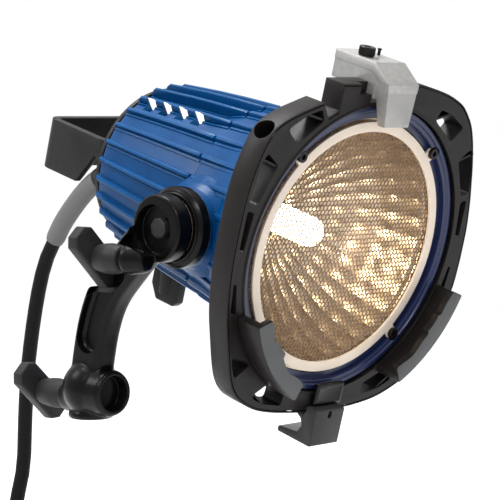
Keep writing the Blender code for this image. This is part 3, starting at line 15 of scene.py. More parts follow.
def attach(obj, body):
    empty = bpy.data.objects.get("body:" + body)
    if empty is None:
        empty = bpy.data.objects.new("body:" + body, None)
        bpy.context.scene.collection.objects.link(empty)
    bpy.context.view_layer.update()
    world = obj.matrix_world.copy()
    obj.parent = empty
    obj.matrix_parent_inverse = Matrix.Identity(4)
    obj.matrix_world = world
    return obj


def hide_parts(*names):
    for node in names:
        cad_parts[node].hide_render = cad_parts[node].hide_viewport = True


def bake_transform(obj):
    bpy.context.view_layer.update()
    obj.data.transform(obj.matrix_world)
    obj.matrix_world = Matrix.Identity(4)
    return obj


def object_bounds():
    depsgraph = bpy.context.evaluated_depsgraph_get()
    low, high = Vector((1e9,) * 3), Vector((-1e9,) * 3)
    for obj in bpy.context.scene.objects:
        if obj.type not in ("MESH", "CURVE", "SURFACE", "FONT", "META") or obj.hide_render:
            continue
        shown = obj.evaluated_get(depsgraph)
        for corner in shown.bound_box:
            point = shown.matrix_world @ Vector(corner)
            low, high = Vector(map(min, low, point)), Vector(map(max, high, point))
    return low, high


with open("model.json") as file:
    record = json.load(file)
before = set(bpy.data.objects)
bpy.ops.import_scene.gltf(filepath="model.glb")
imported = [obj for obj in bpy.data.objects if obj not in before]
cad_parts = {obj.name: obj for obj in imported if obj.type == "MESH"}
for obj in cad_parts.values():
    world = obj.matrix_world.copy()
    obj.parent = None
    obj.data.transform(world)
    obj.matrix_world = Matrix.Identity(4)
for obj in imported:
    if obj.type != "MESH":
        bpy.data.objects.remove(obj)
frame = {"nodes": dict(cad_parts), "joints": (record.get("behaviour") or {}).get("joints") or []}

bl_info = {
    "name": "Open-face light",
    "version": (1, 0, 0),
    "blender": (4, 5, 0),
    "location": "View3D > Sidebar > Light",
    "description": "Builds the visible pieces of an open-face location light around its frame",
    "category": "Object",
}

MM = 0.001
GAP = 0.3  # between pieces that touch
CAD_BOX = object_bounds()
TILT_JOINT = next(joint for joint in frame["joints"] if joint["name"] == "head_tilt")
UP = Vector((0, 0, 1))

# the lamp head hangs on the yoke's pivot and looks down by TILT
TILT = math.radians(15.8)
PIVOT = Vector(TILT_JOINT["pos_m"])
LAMP_SIDE, LAMP_RISE, LAMP_REACH = 91.6, 4.5, 62.3
FORWARD = Vector((0, -math.cos(TILT), -math.sin(TILT)))
UPWARD = Vector((0, -math.sin(TILT), math.cos(TILT)))
CENTRE = PIVOT / MM + Vector((LAMP_SIDE, 0, 0)) + UPWARD * LAMP_RISE + FORWARD * LAMP_REACH
ROW = Matrix.Scale(MM, 4)  # takes millimetres to the row frame
LAMP = ROW @ Matrix.Translation(CENTRE) @ Matrix((Vector((1, 0, 0)), UPWARD, FORWARD)).transposed().to_4x4()

# the camera that the photograph was taken with
CAMERA_PLACE = Vector((-0.7844, -0.9007, 0.1784))
CAMERA_TURN = (math.radians(90 - 3.84), 0.0, math.radians(-45.53))
CAMERA_LENS = 147.2

# mains cable: the free stretch, and the coil that puts the rest of it away
CABLE_RADIUS = 4.75
CABLE_ROUTE = [(53.6, 96.4, 96.6), (53.8, 105.2, 83.3), (54.2, 112.6, 64.9), (54.8, 120.0, 38.6),
               (55.6, 126.4, 8.7), (56.2, 129.8, -21.0), (55.6, 131.2, -51.4), (49.6, 131.6, -76.0),
               (45.6, 131.6, -99.0), (41.4, 131.6, -122.0), (38.6, 131.6, -145.0), (38.0, 131.6, -164.7)]
COIL_START = Vector((38.0, 131.6, -165.0))
COIL_TURNS = 4
COIL_INNER, COIL_PITCH = 35.0, 10.2
COIL_POINTS = 40
COIL_TAIL = 26.0
PLUG_GRIPS, PLUG_PIN_REACH = 14, 9.5
SLEEVE_X = -38.0
SLEEVE_ROUTE = [(-175.5, -11.8), (-180.0, -16.0), (-187.0, -24.6), (-195.0, -37.0), (-201.6, -49.6),
                (-206.0, -62.0)]
SLEEVE_RADII = (6.5, 6.1)

# housing and bell
HOUSING_REAR, HOUSING_FRONT = -165.0, -77.6
HOUSING_RADII = (50.0, 59.5)
RIBS = 28
RIB_SHAPE = [(-0.125, 0.0, 0), (-0.115, 0.55, 0), (-0.085, 0.92, 0), (-0.03, 1.0, 0), (0.03, 1.0, 0),
             (0.085, 0.92, 0), (0.115, 0.55, 0), (0.125, 0.0, 0), (0.16, 0.0, 0), (0.17, 0.0, 1),
             (0.27, 0.0, 1), (0.285, 0.0, 0)]
RIB_ENDS = [(-165.0, 2.6, 0.0), (-164.5, 1.4, 0.4), (-163.4, 0.5, 0.75), (-161.6, 0.0, 1.0), (-150, 0, 1.0),
            (-130, 0, 1.0), (-110, 0, 1.0), (-95, 0, 1.0), (-80.6, 0, 1.0), (-79.2, 0.0, 0.85),
            (-78.7, 0.0, 0.0), (-77.8, 0.0, 0.0)]
VENT_ANGLES, VENTS, VENT_PITCH = (54.0, 126.0), 4, 15
FIN_SPREAD = 34  # degrees from the top over which the fins fade
FIN_DEPTH = 4.4  # how much deeper the flats lie between the fins along the top
COVER_SCREW_ANGLES, COVER_SCREW_CIRCLE = (60, 120, 240, 300), 43.5
FOCUS_LEVEL = -136
BELL_OUTER = [(60.4, -77.3), (62.9, -60.0), (68.2, -40.0), (74.6, -23.0), (80.6, -11.5), (85.6, -4.6),
              (86.0, -2.0)]
BELL_FRONT = [(86.0, -0.4), (85.9, 2.6), (85.3, 3.3), (84.0, 3.4), (83.0, 3.2), (82.6, 2.3), (82.2, 2.0),
              (81.0, 1.9), (80.6, 1.6), (80.5, 0.6), (80.5, -1.3), (77.0, -1.35), (77.0, -4.4), (72.5, -4.4),
              (72.5, -7.4), (72.6, -21.0), (61.6, -60.0), (57.4, -70.4), (57.0, -77.0)]
BOWL = [(72.0, 0), (67.5, -16), (58.0, -32), (44.0, -46), (28.0, -56), (14.5, -61)]
GUARD_TOP, SEAT_FLOOR = -1.3, -4.4
EAR_ANGLES = (45.0, 135.0, 225.0, 315.0)
EAR_CIRCLE, EAR_RADIUS = 79.5, 3.7
BOSS_FACE, AXLE_HOLE = -71.6, 5.4


def around(angle, radius, z=0.0):
    """A point at an angle in degrees round the lamp's axis."""
    return Vector((radius * math.cos(math.radians(angle)), radius * math.sin(math.radians(angle)), z))


def length_of(points):
    """The length of a path."""
    return sum((b - a).length for a, b in zip(points, points[1:]))


def curve_point(p0, p1, p2, p3, t):
    """A point on the smooth curve from p1 to p2, which p0 and p3 lead into and out of."""
    return 0.5 * (2 * p1 + (p2 - p0) * t + (2 * p0 - 5 * p1 + 4 * p2 - p3) * t * t
                  + (3 * p1 - 3 * p2 + p3 - p0) * t ** 3)


def even(points, count):
    """A path's points again, at even lengths along it."""
    along = [0.0]
    for a, b in zip(points, points[1:]):
        along.append(along[-1] + (b - a).length)
    made, k = [], 0
    for i in range(count + 1):
        want = along[-1] * i / count
        while k < len(points) - 2 and along[k + 1] < want:
            k += 1
        share = (want - along[k]) / max(along[k + 1] - along[k], 1e-9)
        made.append(points[k].lerp(points[k + 1], min(share, 1.0)))
    return made


def smooth_route(route, spacing):
    """Points at an even spacing on a smooth curve through a route's own points."""
    route = [Vector(p) for p in route]
    ends = [route[0] * 2 - route[1]] + route + [route[-1] * 2 - route[-2]]
    fine = [curve_point(*four, k / 20) for four in zip(ends, ends[1:], ends[2:], ends[3:]) for k in range(20)]
    fine.append(route[-1])
    return even(fine, max(2, round(length_of(fine) / spacing)))


def filleted(points, radius, steps=4, closed=True):
    """A flat outline with its corners rounded."""
    points = [Vector(p) for p in points]
    count = len(points)
    made = []
    for k, p in enumerate(points):
        if not closed and k in (0, count - 1):
            made.append(p)
            continue
        before, after = points[k - 1] - p, points[(k + 1) % count] - p
        half = before.angle(after) / 2
        reach = min(radius / math.tan(half), before.length * 0.45, after.length * 0.45)
        if half > math.radians(86):
            made.append(p)
            continue
        a, b = p + before.normalized() * reach, p + after.normalized() * reach
        for i in range(steps + 1):
            t = i / steps
            made.append(a * (1 - t) ** 2 + p * 2 * t * (1 - t) + b * t * t)
    return made


def softened(points, corner=28.0, steps=3):
    """A closed outline with points added on its round stretches, and its corners kept."""
    points = [Vector(p) for p in points]
    count = len(points)

    def sharp(k):
        a, b = points[k % count] - points[k - 1], points[(k + 1) % count] - points[k % count]
        return a.angle(b) > math.radians(corner)

    made = []
    for k in range(count):
        p0, p1, p2, p3 = (points[(k + i) % count] for i in (-1, 0, 1, 2))
        if sharp(k):
            p0 = p1 * 2 - p2
        if sharp((k + 1) % count):
            p3 = p2 * 2 - p1
        made += [curve_point(p0, p1, p2, p3, i / steps) for i in range(steps)]
    return made


def rounded(bm, width, steps=2, angle=40.0):
    """Every edge sharper than an angle gets a round of this width."""
    edges = [e for e in bm.edges if len(e.link_faces) == 2 and e.calc_face_angle(0.0) > math.radians(angle)]
    bmesh.ops.bevel(bm, geom=edges, offset=width, offset_type="OFFSET", affect="EDGES", segments=steps,
                    profile=0.5, material=-1, clamp_overlap=True)
    return bm


def placed(bm, matrix):
    """A mesh moved by a matrix."""
    bmesh.ops.transform(bm, matrix=matrix, verts=bm.verts)
    return bm


def slab(outline, low, high, round_by=0.0, steps=2):
    """A flat outline made solid from one level to another along Z."""
    bm = bmesh.new()
    face = bm.faces.new([bm.verts.new((p[0], p[1], low)) for p in outline])
    grown = bmesh.ops.extrude_face_region(bm, geom=[face])
    top = [v for v in grown["geom"] if isinstance(v, bmesh.types.BMVert)]
    bmesh.ops.translate(bm, vec=(0, 0, high - low), verts=top)
    bmesh.ops.recalc_face_normals(bm, faces=bm.faces)
    if round_by:
        rounded(bm, round_by, steps)
    return bm


SIDEWAYS = Matrix(((0, 0, 1, 0), (0, 1, 0, 0), (1, 0, 0, 0), (0, 0, 0, 1)))  # (z, y) outlines, across x
ARMWAYS = Matrix(((0, 0, 1, 0), (1, 0, 0, 0), (0, 1, 0, 0), (0, 0, 0, 1)))  # (y, z) outlines, across x


def side_slab(outline, left, right, round_by=0.0, turn=SIDEWAYS, steps=2):
    """An outline in the plane across X made solid from left to right."""
    bm = placed(slab(outline, left, right, round_by, steps), turn)
    bmesh.ops.recalc_face_normals(bm, faces=bm.faces)
    return bm


def blocks_round(count, low, high):
    """Equal blocks set round the Z axis, as one mesh."""
    return merged(*(placed(block(low, high), Matrix.Rotation(math.tau * k / count, 4, "Z"))
                    for k in range(count)))


def block(low, high, round_by=0.0, steps=2):
    """A box between two corners."""
    low, high = Vector(low), Vector(high)
    bm = bmesh.new()
    bmesh.ops.create_cube(bm, size=1.0)
    size = high - low
    placed(bm, Matrix.Translation((low + high) / 2) @ Matrix.Diagonal((*size, 1.0)))
    if round_by:
        rounded(bm, round_by, steps)
    return bm


def aimed(start, end):
    """The matrix that takes +Z from the origin to a bar that starts at one point and points at another."""
    along = Vector(end) - Vector(start)
    return Matrix.Translation(start) @ UP.rotation_difference(along).to_matrix().to_4x4()


def turned(profile, steps=96, ease=0.0, open_ends=False):
    """A closed profile of (radius, level) spun round Z. Points on the axis close it as a pole."""
    points = [Vector((r, z)) for r, z in profile]
    if ease:
        points = filleted(points, ease, 3, closed=not open_ends)
    bm = bmesh.new()
    ring = [bm.verts.new((max(p.x, 0.0), 0, p.y)) for p in points]
    pairs = list(zip(ring, ring[1:]))
    if not open_ends:
        pairs.append((ring[-1], ring[0]))
    edges = [bm.edges.new(pair) for pair in pairs]
    bmesh.ops.spin(bm, geom=ring + edges, axis=(0, 0, 1), cent=(0, 0, 0), angle=math.tau, steps=steps,
                   use_merge=True, use_duplicate=False)
    bmesh.ops.remove_doubles(bm, verts=bm.verts, dist=1e-3)
    bmesh.ops.dissolve_degenerate(bm, edges=bm.edges, dist=1e-4)
    bmesh.ops.recalc_face_normals(bm, faces=bm.faces)
    return bm


def bar(radius, start, end, end_radius=None, ease=0.0, steps=40):
    """A round bar or cone from one point to another."""
    length = (Vector(end) - Vector(start)).length
    far = radius if end_radius is None else end_radius
    profile = [(0, 0), (radius, 0), (far, length), (0, length)]
    return placed(turned(profile, steps, ease, True), aimed(start, end))


def merged(*parts):
    """Several meshes as one."""
    whole = bmesh.new()
    for bm in parts:
        mesh = bpy.data.meshes.new("part")
        bm.to_mesh(mesh)
        bm.free()
        whole.from_mesh(mesh)
        bpy.data.meshes.remove(mesh)
    return whole


def as_object(bm, name="tool"):
    """An object for a mesh, in the scene."""
    mesh = bpy.data.meshes.new(name)
    bm.to_mesh(mesh)
    bm.free()
    made = bpy.data.objects.new(name, mesh)
    bpy.context.scene.collection.objects.link(made)
    return made


def evaluated(made):
    """The mesh of an object after its modifiers."""
    seen = made.evaluated_get(bpy.context.evaluated_depsgraph_get())
    mesh = bpy.data.meshes.new_from_object(seen)
    bm = bmesh.new()
    bm.from_mesh(mesh)
    bpy.data.meshes.remove(mesh)
    return bm


def reworked(bm, prepare, tools=()):
    """The mesh after the modifiers that a function gives it."""
    body = as_object(bm)
    tools = [as_object(tool) for tool in tools]
    prepare(body, tools)
    made = evaluated(body)
    for used in [body] + tools:
        data = used.data
        bpy.data.objects.remove(used, do_unlink=True)
        bpy.data.meshes.remove(data)
    return made


def boolean(bm, tools, way):
    """The mesh after one boolean step for each tool."""
    def prepare(body, cutters):
        for cutter in cutters:
            step = body.modifiers.new("step", "BOOLEAN")
            step.operation = way
            step.solver = "EXACT"
            step.object = cutter
    return reworked(bm, prepare, tools)


def cut(bm, *tools):
    """The mesh without what the tools take out."""
    return boolean(bm, tools, "DIFFERENCE")


def fused(bm, *tools):
    """The mesh joined with the tools as one solid."""
    return boolean(bm, tools, "UNION")


def cast(bm, grain, rounds):
    """The mesh as one casting, with a fillet wherever two forms meet."""
    def prepare(body, tools):
        skin = body.modifiers.new("skin", "REMESH")
        skin.mode = "VOXEL"
        skin.voxel_size = grain
        ease = body.modifiers.new("ease", "SMOOTH")
        ease.factor = 0.5
        ease.iterations = rounds
    return reworked(bm, prepare)


def tube_mesh(points, radii, sides=16):
    """A round tube through points, with closed ends."""
    curve = bpy.data.curves.new("tube", "CURVE")
    curve.dimensions = "3D"
    curve.bevel_depth = radii[0]
    curve.bevel_resolution = sides // 4
    curve.use_fill_caps = True
    spline = curve.splines.new("POLY")
    spline.points.add(len(points) - 1)
    for k, (place, p) in enumerate(zip(spline.points, points)):
        place.co = (*p, 1.0)
        place.radius = radii[min(k, len(radii) - 1)] / radii[0]
    holder = bpy.data.objects.new("tube", curve)
    bpy.context.scene.collection.objects.link(holder)
    bm = evaluated(holder)
    bpy.data.objects.remove(holder, do_unlink=True)
    bpy.data.curves.remove(curve)
    bmesh.ops.remove_doubles(bm, verts=bm.verts, dist=1e-3)
    bmesh.ops.recalc_face_normals(bm, faces=bm.faces)
    return bm


def settle(name, bm, paint, replaces=(), angle=35.0, second=None, body="head", matrix=LAMP):
    """A finished piece: placed in the row frame, shaded, painted, and riding on its body."""
    placed(bm, matrix)
    for face in bm.faces:
        face.smooth = True
    mesh = bpy.data.meshes.new(name)
    bm.to_mesh(mesh)
    bm.free()
    mesh.set_sharp_from_angle(angle=math.radians(angle))
    made = bpy.data.objects.new(name, mesh)
    bpy.context.scene.collection.objects.link(made)
    mesh.materials.append(look(paint))
    if second is not None:
        mesh.materials.append(look(second))
    if body is not None:
        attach(made, body)
    if replaces:
        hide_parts(*replaces)
    return made


# finishes

SHARP_EDGES = (0.515, 0.56)  # pointiness where the lighter edges (wear and painted highlight) start and where they are full
WEAR_AND_HIGHLIGHT_SCALE = 350.0
GRAIN_DEPTH = 0.1 * MM


def shader_of(material):
    """The principled shader of a material."""
    return material.node_tree.nodes["Principled BSDF"]


def noise_at(nodes, links, where, scale, detail=3.0):
    """A noise pattern on object coordinates."""
    pattern = nodes.new("ShaderNodeTexNoise")
    pattern.inputs["Scale"].default_value = scale
    pattern.inputs["Detail"].default_value = detail
    links.new(where, pattern.inputs["Vector"])
    return pattern.outputs["Fac"]


def spread(nodes, links, value, low, high, from_low=0.3, from_high=0.7):
    """A pattern's value mapped to a range."""
    mapped = nodes.new("ShaderNodeMapRange")
    mapped.inputs["From Min"].default_value = from_low
    mapped.inputs["From Max"].default_value = from_high
    mapped.inputs["To Min"].default_value = low
    mapped.inputs["To Max"].default_value = high
    links.new(value, mapped.inputs["Value"])
    return mapped.outputs["Result"]


def blended(nodes, links, share, first, second):
    """Two colours, or a socket and a colour, mixed by a pattern."""
    mix = nodes.new("ShaderNodeMix")
    mix.data_type = "RGBA"
    links.new(share, mix.inputs["Factor"])
    for socket, value in ((mix.inputs[6], first), (mix.inputs[7], second)):
        if isinstance(value, bpy.types.NodeSocket):
            links.new(value, socket)
        else:
            socket.default_value = (*value, 1.0)
    return mix.outputs[2]


def finish(name, colour, rough, metal=0.0, mottle=0.12, mottle_scale=60.0, grain_scale=900.0, grain=0.06,
           wear_and_highlight_colour=None, wear_and_highlight_share=0.0, specular=0.5):
    """A paint, metal or plastic: mottled colour, uneven gloss, fine grain, and sharp edges that may be
    lighter, partly from wear and partly as a painted highlight.
    """
    material = bpy.data.materials.new(name)
    material.use_nodes = True
    nodes, links = material.node_tree.nodes, material.node_tree.links
    shader = shader_of(material)
    shader.inputs["Metallic"].default_value = metal
    shader.inputs["Specular IOR Level"].default_value = specular
    where = nodes.new("ShaderNodeTexCoord").outputs["Object"]
    cloud = noise_at(nodes, links, where, mottle_scale)
    darker = tuple(c * (1 - mottle) for c in colour)
    lighter = tuple(min(c * (1 + mottle), 1.0) for c in colour)
    tone = blended(nodes, links, spread(nodes, links, cloud, 0.0, 1.0), darker, lighter)
    fine = noise_at(nodes, links, where, grain_scale, 2.0)
    # sharp edges lighter in broken patches: partly wear, partly a painted highlight along the edges
    if wear_and_highlight_colour is not None:
        edge = nodes.new("ShaderNodeNewGeometry").outputs["Pointiness"]
        sharp = spread(nodes, links, edge, 0.0, wear_and_highlight_share, *SHARP_EDGES)
        wear_and_highlight_mask = nodes.new("ShaderNodeMath")
        wear_and_highlight_mask.operation = "MULTIPLY"
        links.new(sharp, wear_and_highlight_mask.inputs[0])
        patches = noise_at(nodes, links, where, WEAR_AND_HIGHLIGHT_SCALE)
        links.new(spread(nodes, links, patches, 0.3, 1.0), wear_and_highlight_mask.inputs[1])
        tone = blended(nodes, links, wear_and_highlight_mask.outputs["Value"], tone, wear_and_highlight_colour)
    links.new(tone, shader.inputs["Base Color"])
    gloss = spread(nodes, links, cloud, rough * 0.88, min(rough * 1.15, 1.0))
    links.new(gloss, shader.inputs["Roughness"])
    bump = nodes.new("ShaderNodeBump")
    bump.inputs["Strength"].default_value = grain
    bump.inputs["Distance"].default_value = GRAIN_DEPTH
    links.new(fine, bump.inputs["Height"])
    links.new(bump.outputs["Normal"], shader.inputs["Normal"])
    return material


def lit(name, colour, strength):
    """A pale surface that gives off light."""
    material = finish(name, (0.9, 0.85, 0.7), 0.25, grain=0.0)
    shader = shader_of(material)
    shader.inputs["Emission Color"].default_value = (*colour, 1.0)
    shader.inputs["Emission Strength"].default_value = strength
    return material


# the edge colours given below lighten sharp edges: partly wear, partly a painted highlight
LOOKS = {
    "blue": lambda: finish("blue_paint", tuple(settings().paint_blue), 0.34, mottle=0.10,
                           grain_scale=1500, grain=0.10, wear_and_highlight_colour=(0.010, 0.10, 0.26), wear_and_highlight_share=0.35, specular=0.12),
    "rim_blue": lambda: finish("rim_blue_paint", (0.010, 0.017, 0.062), 0.30, mottle=0.10, grain=0.08,
                               specular=0.35),
    "black": lambda: finish("black_gloss_paint", (0.0022, 0.0020, 0.0020), 0.27, grain_scale=1800, grain=0.10,
                            wear_and_highlight_colour=(0.03, 0.028, 0.026), wear_and_highlight_share=0.25, specular=0.10),
    "satin": lambda: finish("black_satin_paint", (0.0075, 0.0062, 0.0060), 0.42, grain_scale=1800, grain=0.14,
                            wear_and_highlight_colour=(0.03, 0.028, 0.026), wear_and_highlight_share=0.30, specular=0.13),
    # front faces of the black hooks in lighter grey: a painted sheen of the soft light
    "face": lambda: finish("hook_face_painted_sheen", (0.085, 0.088, 0.090), 0.50, grain_scale=1800, grain=0.14,
                           specular=0.15),
    "pad": lambda: finish("pad_plastic", (0.002, 0.002, 0.002), 0.16, grain=0.03, specular=0.15),
    "grey_metal": lambda: finish("dark_grey_paint", (0.012, 0.012, 0.0125), 0.45, grain_scale=1500,
                                 grain=0.15, wear_and_highlight_colour=(0.05, 0.05, 0.05), wear_and_highlight_share=0.3, specular=0.14),
    "grey": lambda: finish("dark_grey_plastic", (0.014, 0.014, 0.0150), 0.52, grain_scale=1400, grain=0.22,
                           wear_and_highlight_colour=(0.05, 0.05, 0.05), wear_and_highlight_share=0.3, specular=0.14),
    "cast": lambda: finish("cast_aluminium", (0.27, 0.266, 0.258), 0.42, metal=0.45, mottle=0.04,
                           grain_scale=2200, grain=0.10, wear_and_highlight_colour=(0.48, 0.47, 0.45), wear_and_highlight_share=0.4, specular=0.4),
    "bracket": lambda: finish("bracket_paint", (0.030, 0.030, 0.030), 0.45, grain_scale=1800, grain=0.12,
                              specular=0.15),
    "steel": lambda: finish("plain_steel", (0.42, 0.42, 0.43), 0.30, metal=1.0, mottle=0.08, grain=0.08),
    "dark_steel": lambda: finish("blackened_steel", (0.0055, 0.0040, 0.0036), 0.36, metal=0.0, grain=0.12,
                                 wear_and_highlight_colour=(0.03, 0.026, 0.024), wear_and_highlight_share=0.3, specular=0.16),
    "mirror": lambda: finish("polished_reflector", (0.52, 0.43, 0.31), 0.29, metal=1.0, mottle=0.08,
                             mottle_scale=90, grain_scale=700, grain=0.04),
    # inner faces of the housing glow: painted light that stands in for the bulb's light inside, seen through
    # the vents
    "liner_painted_glow": lambda: lit("liner_painted_glow", (1.0, 0.95, 0.88), 0.85),
    "liner": lambda: finish("raw_aluminium", (0.62, 0.60, 0.56), 0.50, metal=0.6, mottle=0.10, grain=0.10),
    "cream": lambda: finish("cream_enamel", (0.80, 0.68, 0.56), 0.42, mottle=0.05, grain_scale=1300,
                            grain=0.06),
    "wire": lambda: finish("heat_tinted_wire", (0.25, 0.175, 0.13), 0.45, metal=0.1, mottle=0.18,
                           mottle_scale=45, grain=0.0, specular=0.3),
    "ceramic": lambda: finish("ceramic", (0.74, 0.72, 0.68), 0.60, mottle=0.06, grain=0.2),
    "glow": lambda: lit("lit_bulb", (1.0, 0.84, 0.60), settings().bulb_strength),
    "cable": lambda: finish("cable_rubber", (0.0030, 0.0030, 0.0030), 0.50, grain_scale=1600, grain=0.12,
                            specular=0.09),
    "sleeve": lambda: finish("sleeve_rubber", (0.115, 0.115, 0.115), 0.55, mottle=0.08, grain_scale=1300,
                             grain=0.12, specular=0.3),
    "brass": lambda: finish("brass", (0.55, 0.40, 0.15), 0.30, metal=1.0, grain=0.08),
    "fibre": lambda: finish("pressed_fibre", (0.12, 0.09, 0.06), 0.80, mottle=0.25, grain=0.3),
}
MADE_LOOKS = {}


def look(name):
    """A finish by its short name, made when it is first asked for."""
    if name not in MADE_LOOKS:
        MADE_LOOKS[name] = LOOKS[name]()
    return MADE_LOOKS[name]


def repaint(name, *nodes):
    """A better finish for CAD nodes that stay."""
    for node in nodes:
        solid = frame["nodes"][node]
        if not solid.material_slots:
            solid.data.materials.append(look(name))
        for place in solid.material_slots:
            place.material = look(name)


def second_faces(bm, test):
    """The faces that pass a test get the piece's second finish."""
    bm.normal_update()
    for face in bm.faces:
        if test(face.calc_center_median(), face.normal):
            face.material_index = 1
    return bm


# cable


def coil_line():
    """Centre line of the coil: in to the middle on one layer, over, and out again on the next."""
    outer = COIL_INNER + COIL_TURNS * COIL_PITCH
    centre = COIL_START + Vector((outer, 0, -2 * CABLE_RADIUS))
    points = []
    for k in range(2 * COIL_TURNS * COIL_POINTS + 1):
        turn = k / COIL_POINTS
        radius = COIL_INNER + COIL_PITCH * abs(turn - COIL_TURNS)
        climb = min(max((turn - COIL_TURNS + 0.25) / 0.5, 0), 1)
        angle = math.pi + math.tau * turn
        layer = -COIL_PITCH * climb
        points.append(centre + Vector((radius * math.cos(angle), layer, radius * math.sin(angle))))
    last = points[-1]
    points.append(last + (last - points[-2]).normalized() * (2 * CABLE_RADIUS + COIL_TAIL))
    return points, centre, outer


def make_plug(points):
    """Round mains plug with finger rings, on the end of the coil."""
    end = points[-1]
    aim = (points[-1] - points[-2]).normalized()
    at = ROW @ aimed(end + aim * GAP, end + aim)
    profile = [(0.0, 0.0), (6.2, 0.0)]
    for k in range(5):
        z, grown = 2.0 + 3.2 * k, 0.3 * k
        profile += [(6.9 + grown, z), (6.9 + grown, z + 1.8), (6.1 + grown, z + 2.2), (6.1 + grown, z + 3.0)]
    profile += [(14.5, 24.0), (17.5, 33.0), (17.5, 50.5), (16.6, 52.0), (0.0, 52.0)]
    shell = cut(turned(profile, 64, 0.3, True), blocks_round(PLUG_GRIPS, (-1.1, 16.6, 33), (1.1, 18.4, 49)))
    plug = settle("plug_body", shell, "cable", ["plug"], 40, body="yoke", matrix=at)
    pins = []
    for side in (-1, 1):
        pin = turned([(0, 43.9), (2.4, 43.9), (2.4, 69.0), (1.7, 70.7), (0, 71.0)], 32, 0.3, True)
        pins.append(placed(pin, Matrix.Translation((side * PLUG_PIN_REACH, 0, 0))))
    contacts = settle("plug_pins", merged(*pins), "brass", ["plug_pin_left", "plug_pin_right"],
                      body="yoke", matrix=at)
    return [plug, contacts]


def make_tie(centre, outer):
    """Hook-and-loop strap round the turns of the coil."""
    wall = 1.4
    inner, out = COIL_INNER - CABLE_RADIUS - 2.4, outer + CABLE_RADIUS + 1.5
    near, far = CABLE_RADIUS + GAP, -COIL_PITCH - CABLE_RADIUS - GAP
    hollow = filleted([(far, inner), (near, inner), (near, out), (far, out)], 4, 5)
    proud = filleted([(far - wall, inner - wall), (near + wall, inner - wall), (near + wall, out + wall),
                      (far - wall, out + wall)], 5, 5)
    band = cut(side_slab(proud, -8, 8, 0.4, ARMWAYS), side_slab(hollow, -9, 9, 0, ARMWAYS))
    return settle("cable_tie", band, "grey", ["coil_tie"], body="yoke",
                  matrix=ROW @ Matrix.Translation(centre))


def make_cable():
    """Mains cable in one piece with its coil, and its sleeve, tie and plug."""
    turns, centre, outer = coil_line()
    line = smooth_route(CABLE_ROUTE, 12)[:-1] + turns
    cable = settle("mains_cable", tube_mesh(line, [CABLE_RADIUS]), "cable", angle=60, body=None, matrix=ROW)
    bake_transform(cable)
    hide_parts("cord", "cord_coil")
    sleeve_line = smooth_route([(SLEEVE_X, y, z) for z, y in SLEEVE_ROUTE], 3)
    start, end = SLEEVE_RADII
    count = len(sleeve_line)
    radii = [start + (end - start) * k / (count - 1) for k in range(count)]
    radii[-1] -= 0.5
    sleeve = settle("cable_sleeve", tube_mesh(sleeve_line, radii, 24), "sleeve", ["strain_relief"],
                    50)
    tie = make_tie(centre, outer)
    [tie, sleeve] + make_plug(line)


# housing and bell


def ribbed_ring(radius, height, step, deep, z):
    """Points of one closed ring: for each rib its rounded top and the flat beside it with a low step.

    A point of RIB_SHAPE is (share of the rib's pitch, height share, step share). The flats are chords.
    """
    points = []
    for k in range(RIBS):
        middle = 360 * (k + 0.5) / RIBS
        for share, up, low in RIB_SHAPE:
            angle = middle + 360 * share / RIBS
            drop = deep * math.exp(-((angle - 90) / FIN_SPREAD) ** 4)
            points.append(around(angle, radius - drop * (1 - up) + height * up + step * low, z))
    return points


def ribbed_body(levels):
    """Rings of (level, radius, rib height, step, extra depth) joined along the lamp's axis."""
    bm = bmesh.new()
    rows = []
    for z, radius, height, step, deep in levels:
        verts = [bm.verts.new(p) for p in ribbed_ring(radius, height, step, deep, z)]
        rows.append([bm.edges.new(pair) for pair in zip(verts, verts[1:] + verts[:1])])
    for a, b in zip(rows, rows[1:]):
        bmesh.ops.bridge_loops(bm, edges=a + b)
    return bm, rows


def housing_at(z):
    """The housing's radius at a level."""
    share = (z - HOUSING_REAR) / (HOUSING_FRONT - HOUSING_REAR)
    return HOUSING_RADII[0] + share * (HOUSING_RADII[1] - HOUSING_RADII[0])


def loop_at(bm, sides, radius, z):
    """A loop of edges round the lamp's axis."""
    made = bmesh.ops.create_circle(bm, segments=sides, radius=radius, cap_ends=False,
                                   matrix=Matrix.Translation((0, 0, z)))
    return list({e for v in made["verts"] for e in v.link_edges})


def closed_ends(bm, rows, hole_rear, hole_front, z_rear, z_front):
    """Turn a ribbed skin into a shell with a bore: rings for both mouths, bridged to the skin."""
    mouths = []
    for rows_end, radius, z in ((rows[0], hole_rear, z_rear), (rows[-1], hole_front, z_front)):
        loop = loop_at(bm, len(rows[0]), radius, z)
        bmesh.ops.bridge_loops(bm, edges=rows_end + loop)
        mouths.append(loop)
    bmesh.ops.bridge_loops(bm, edges=mouths[0] + mouths[1])
    bmesh.ops.recalc_face_normals(bm, faces=bm.faces)
    return bm


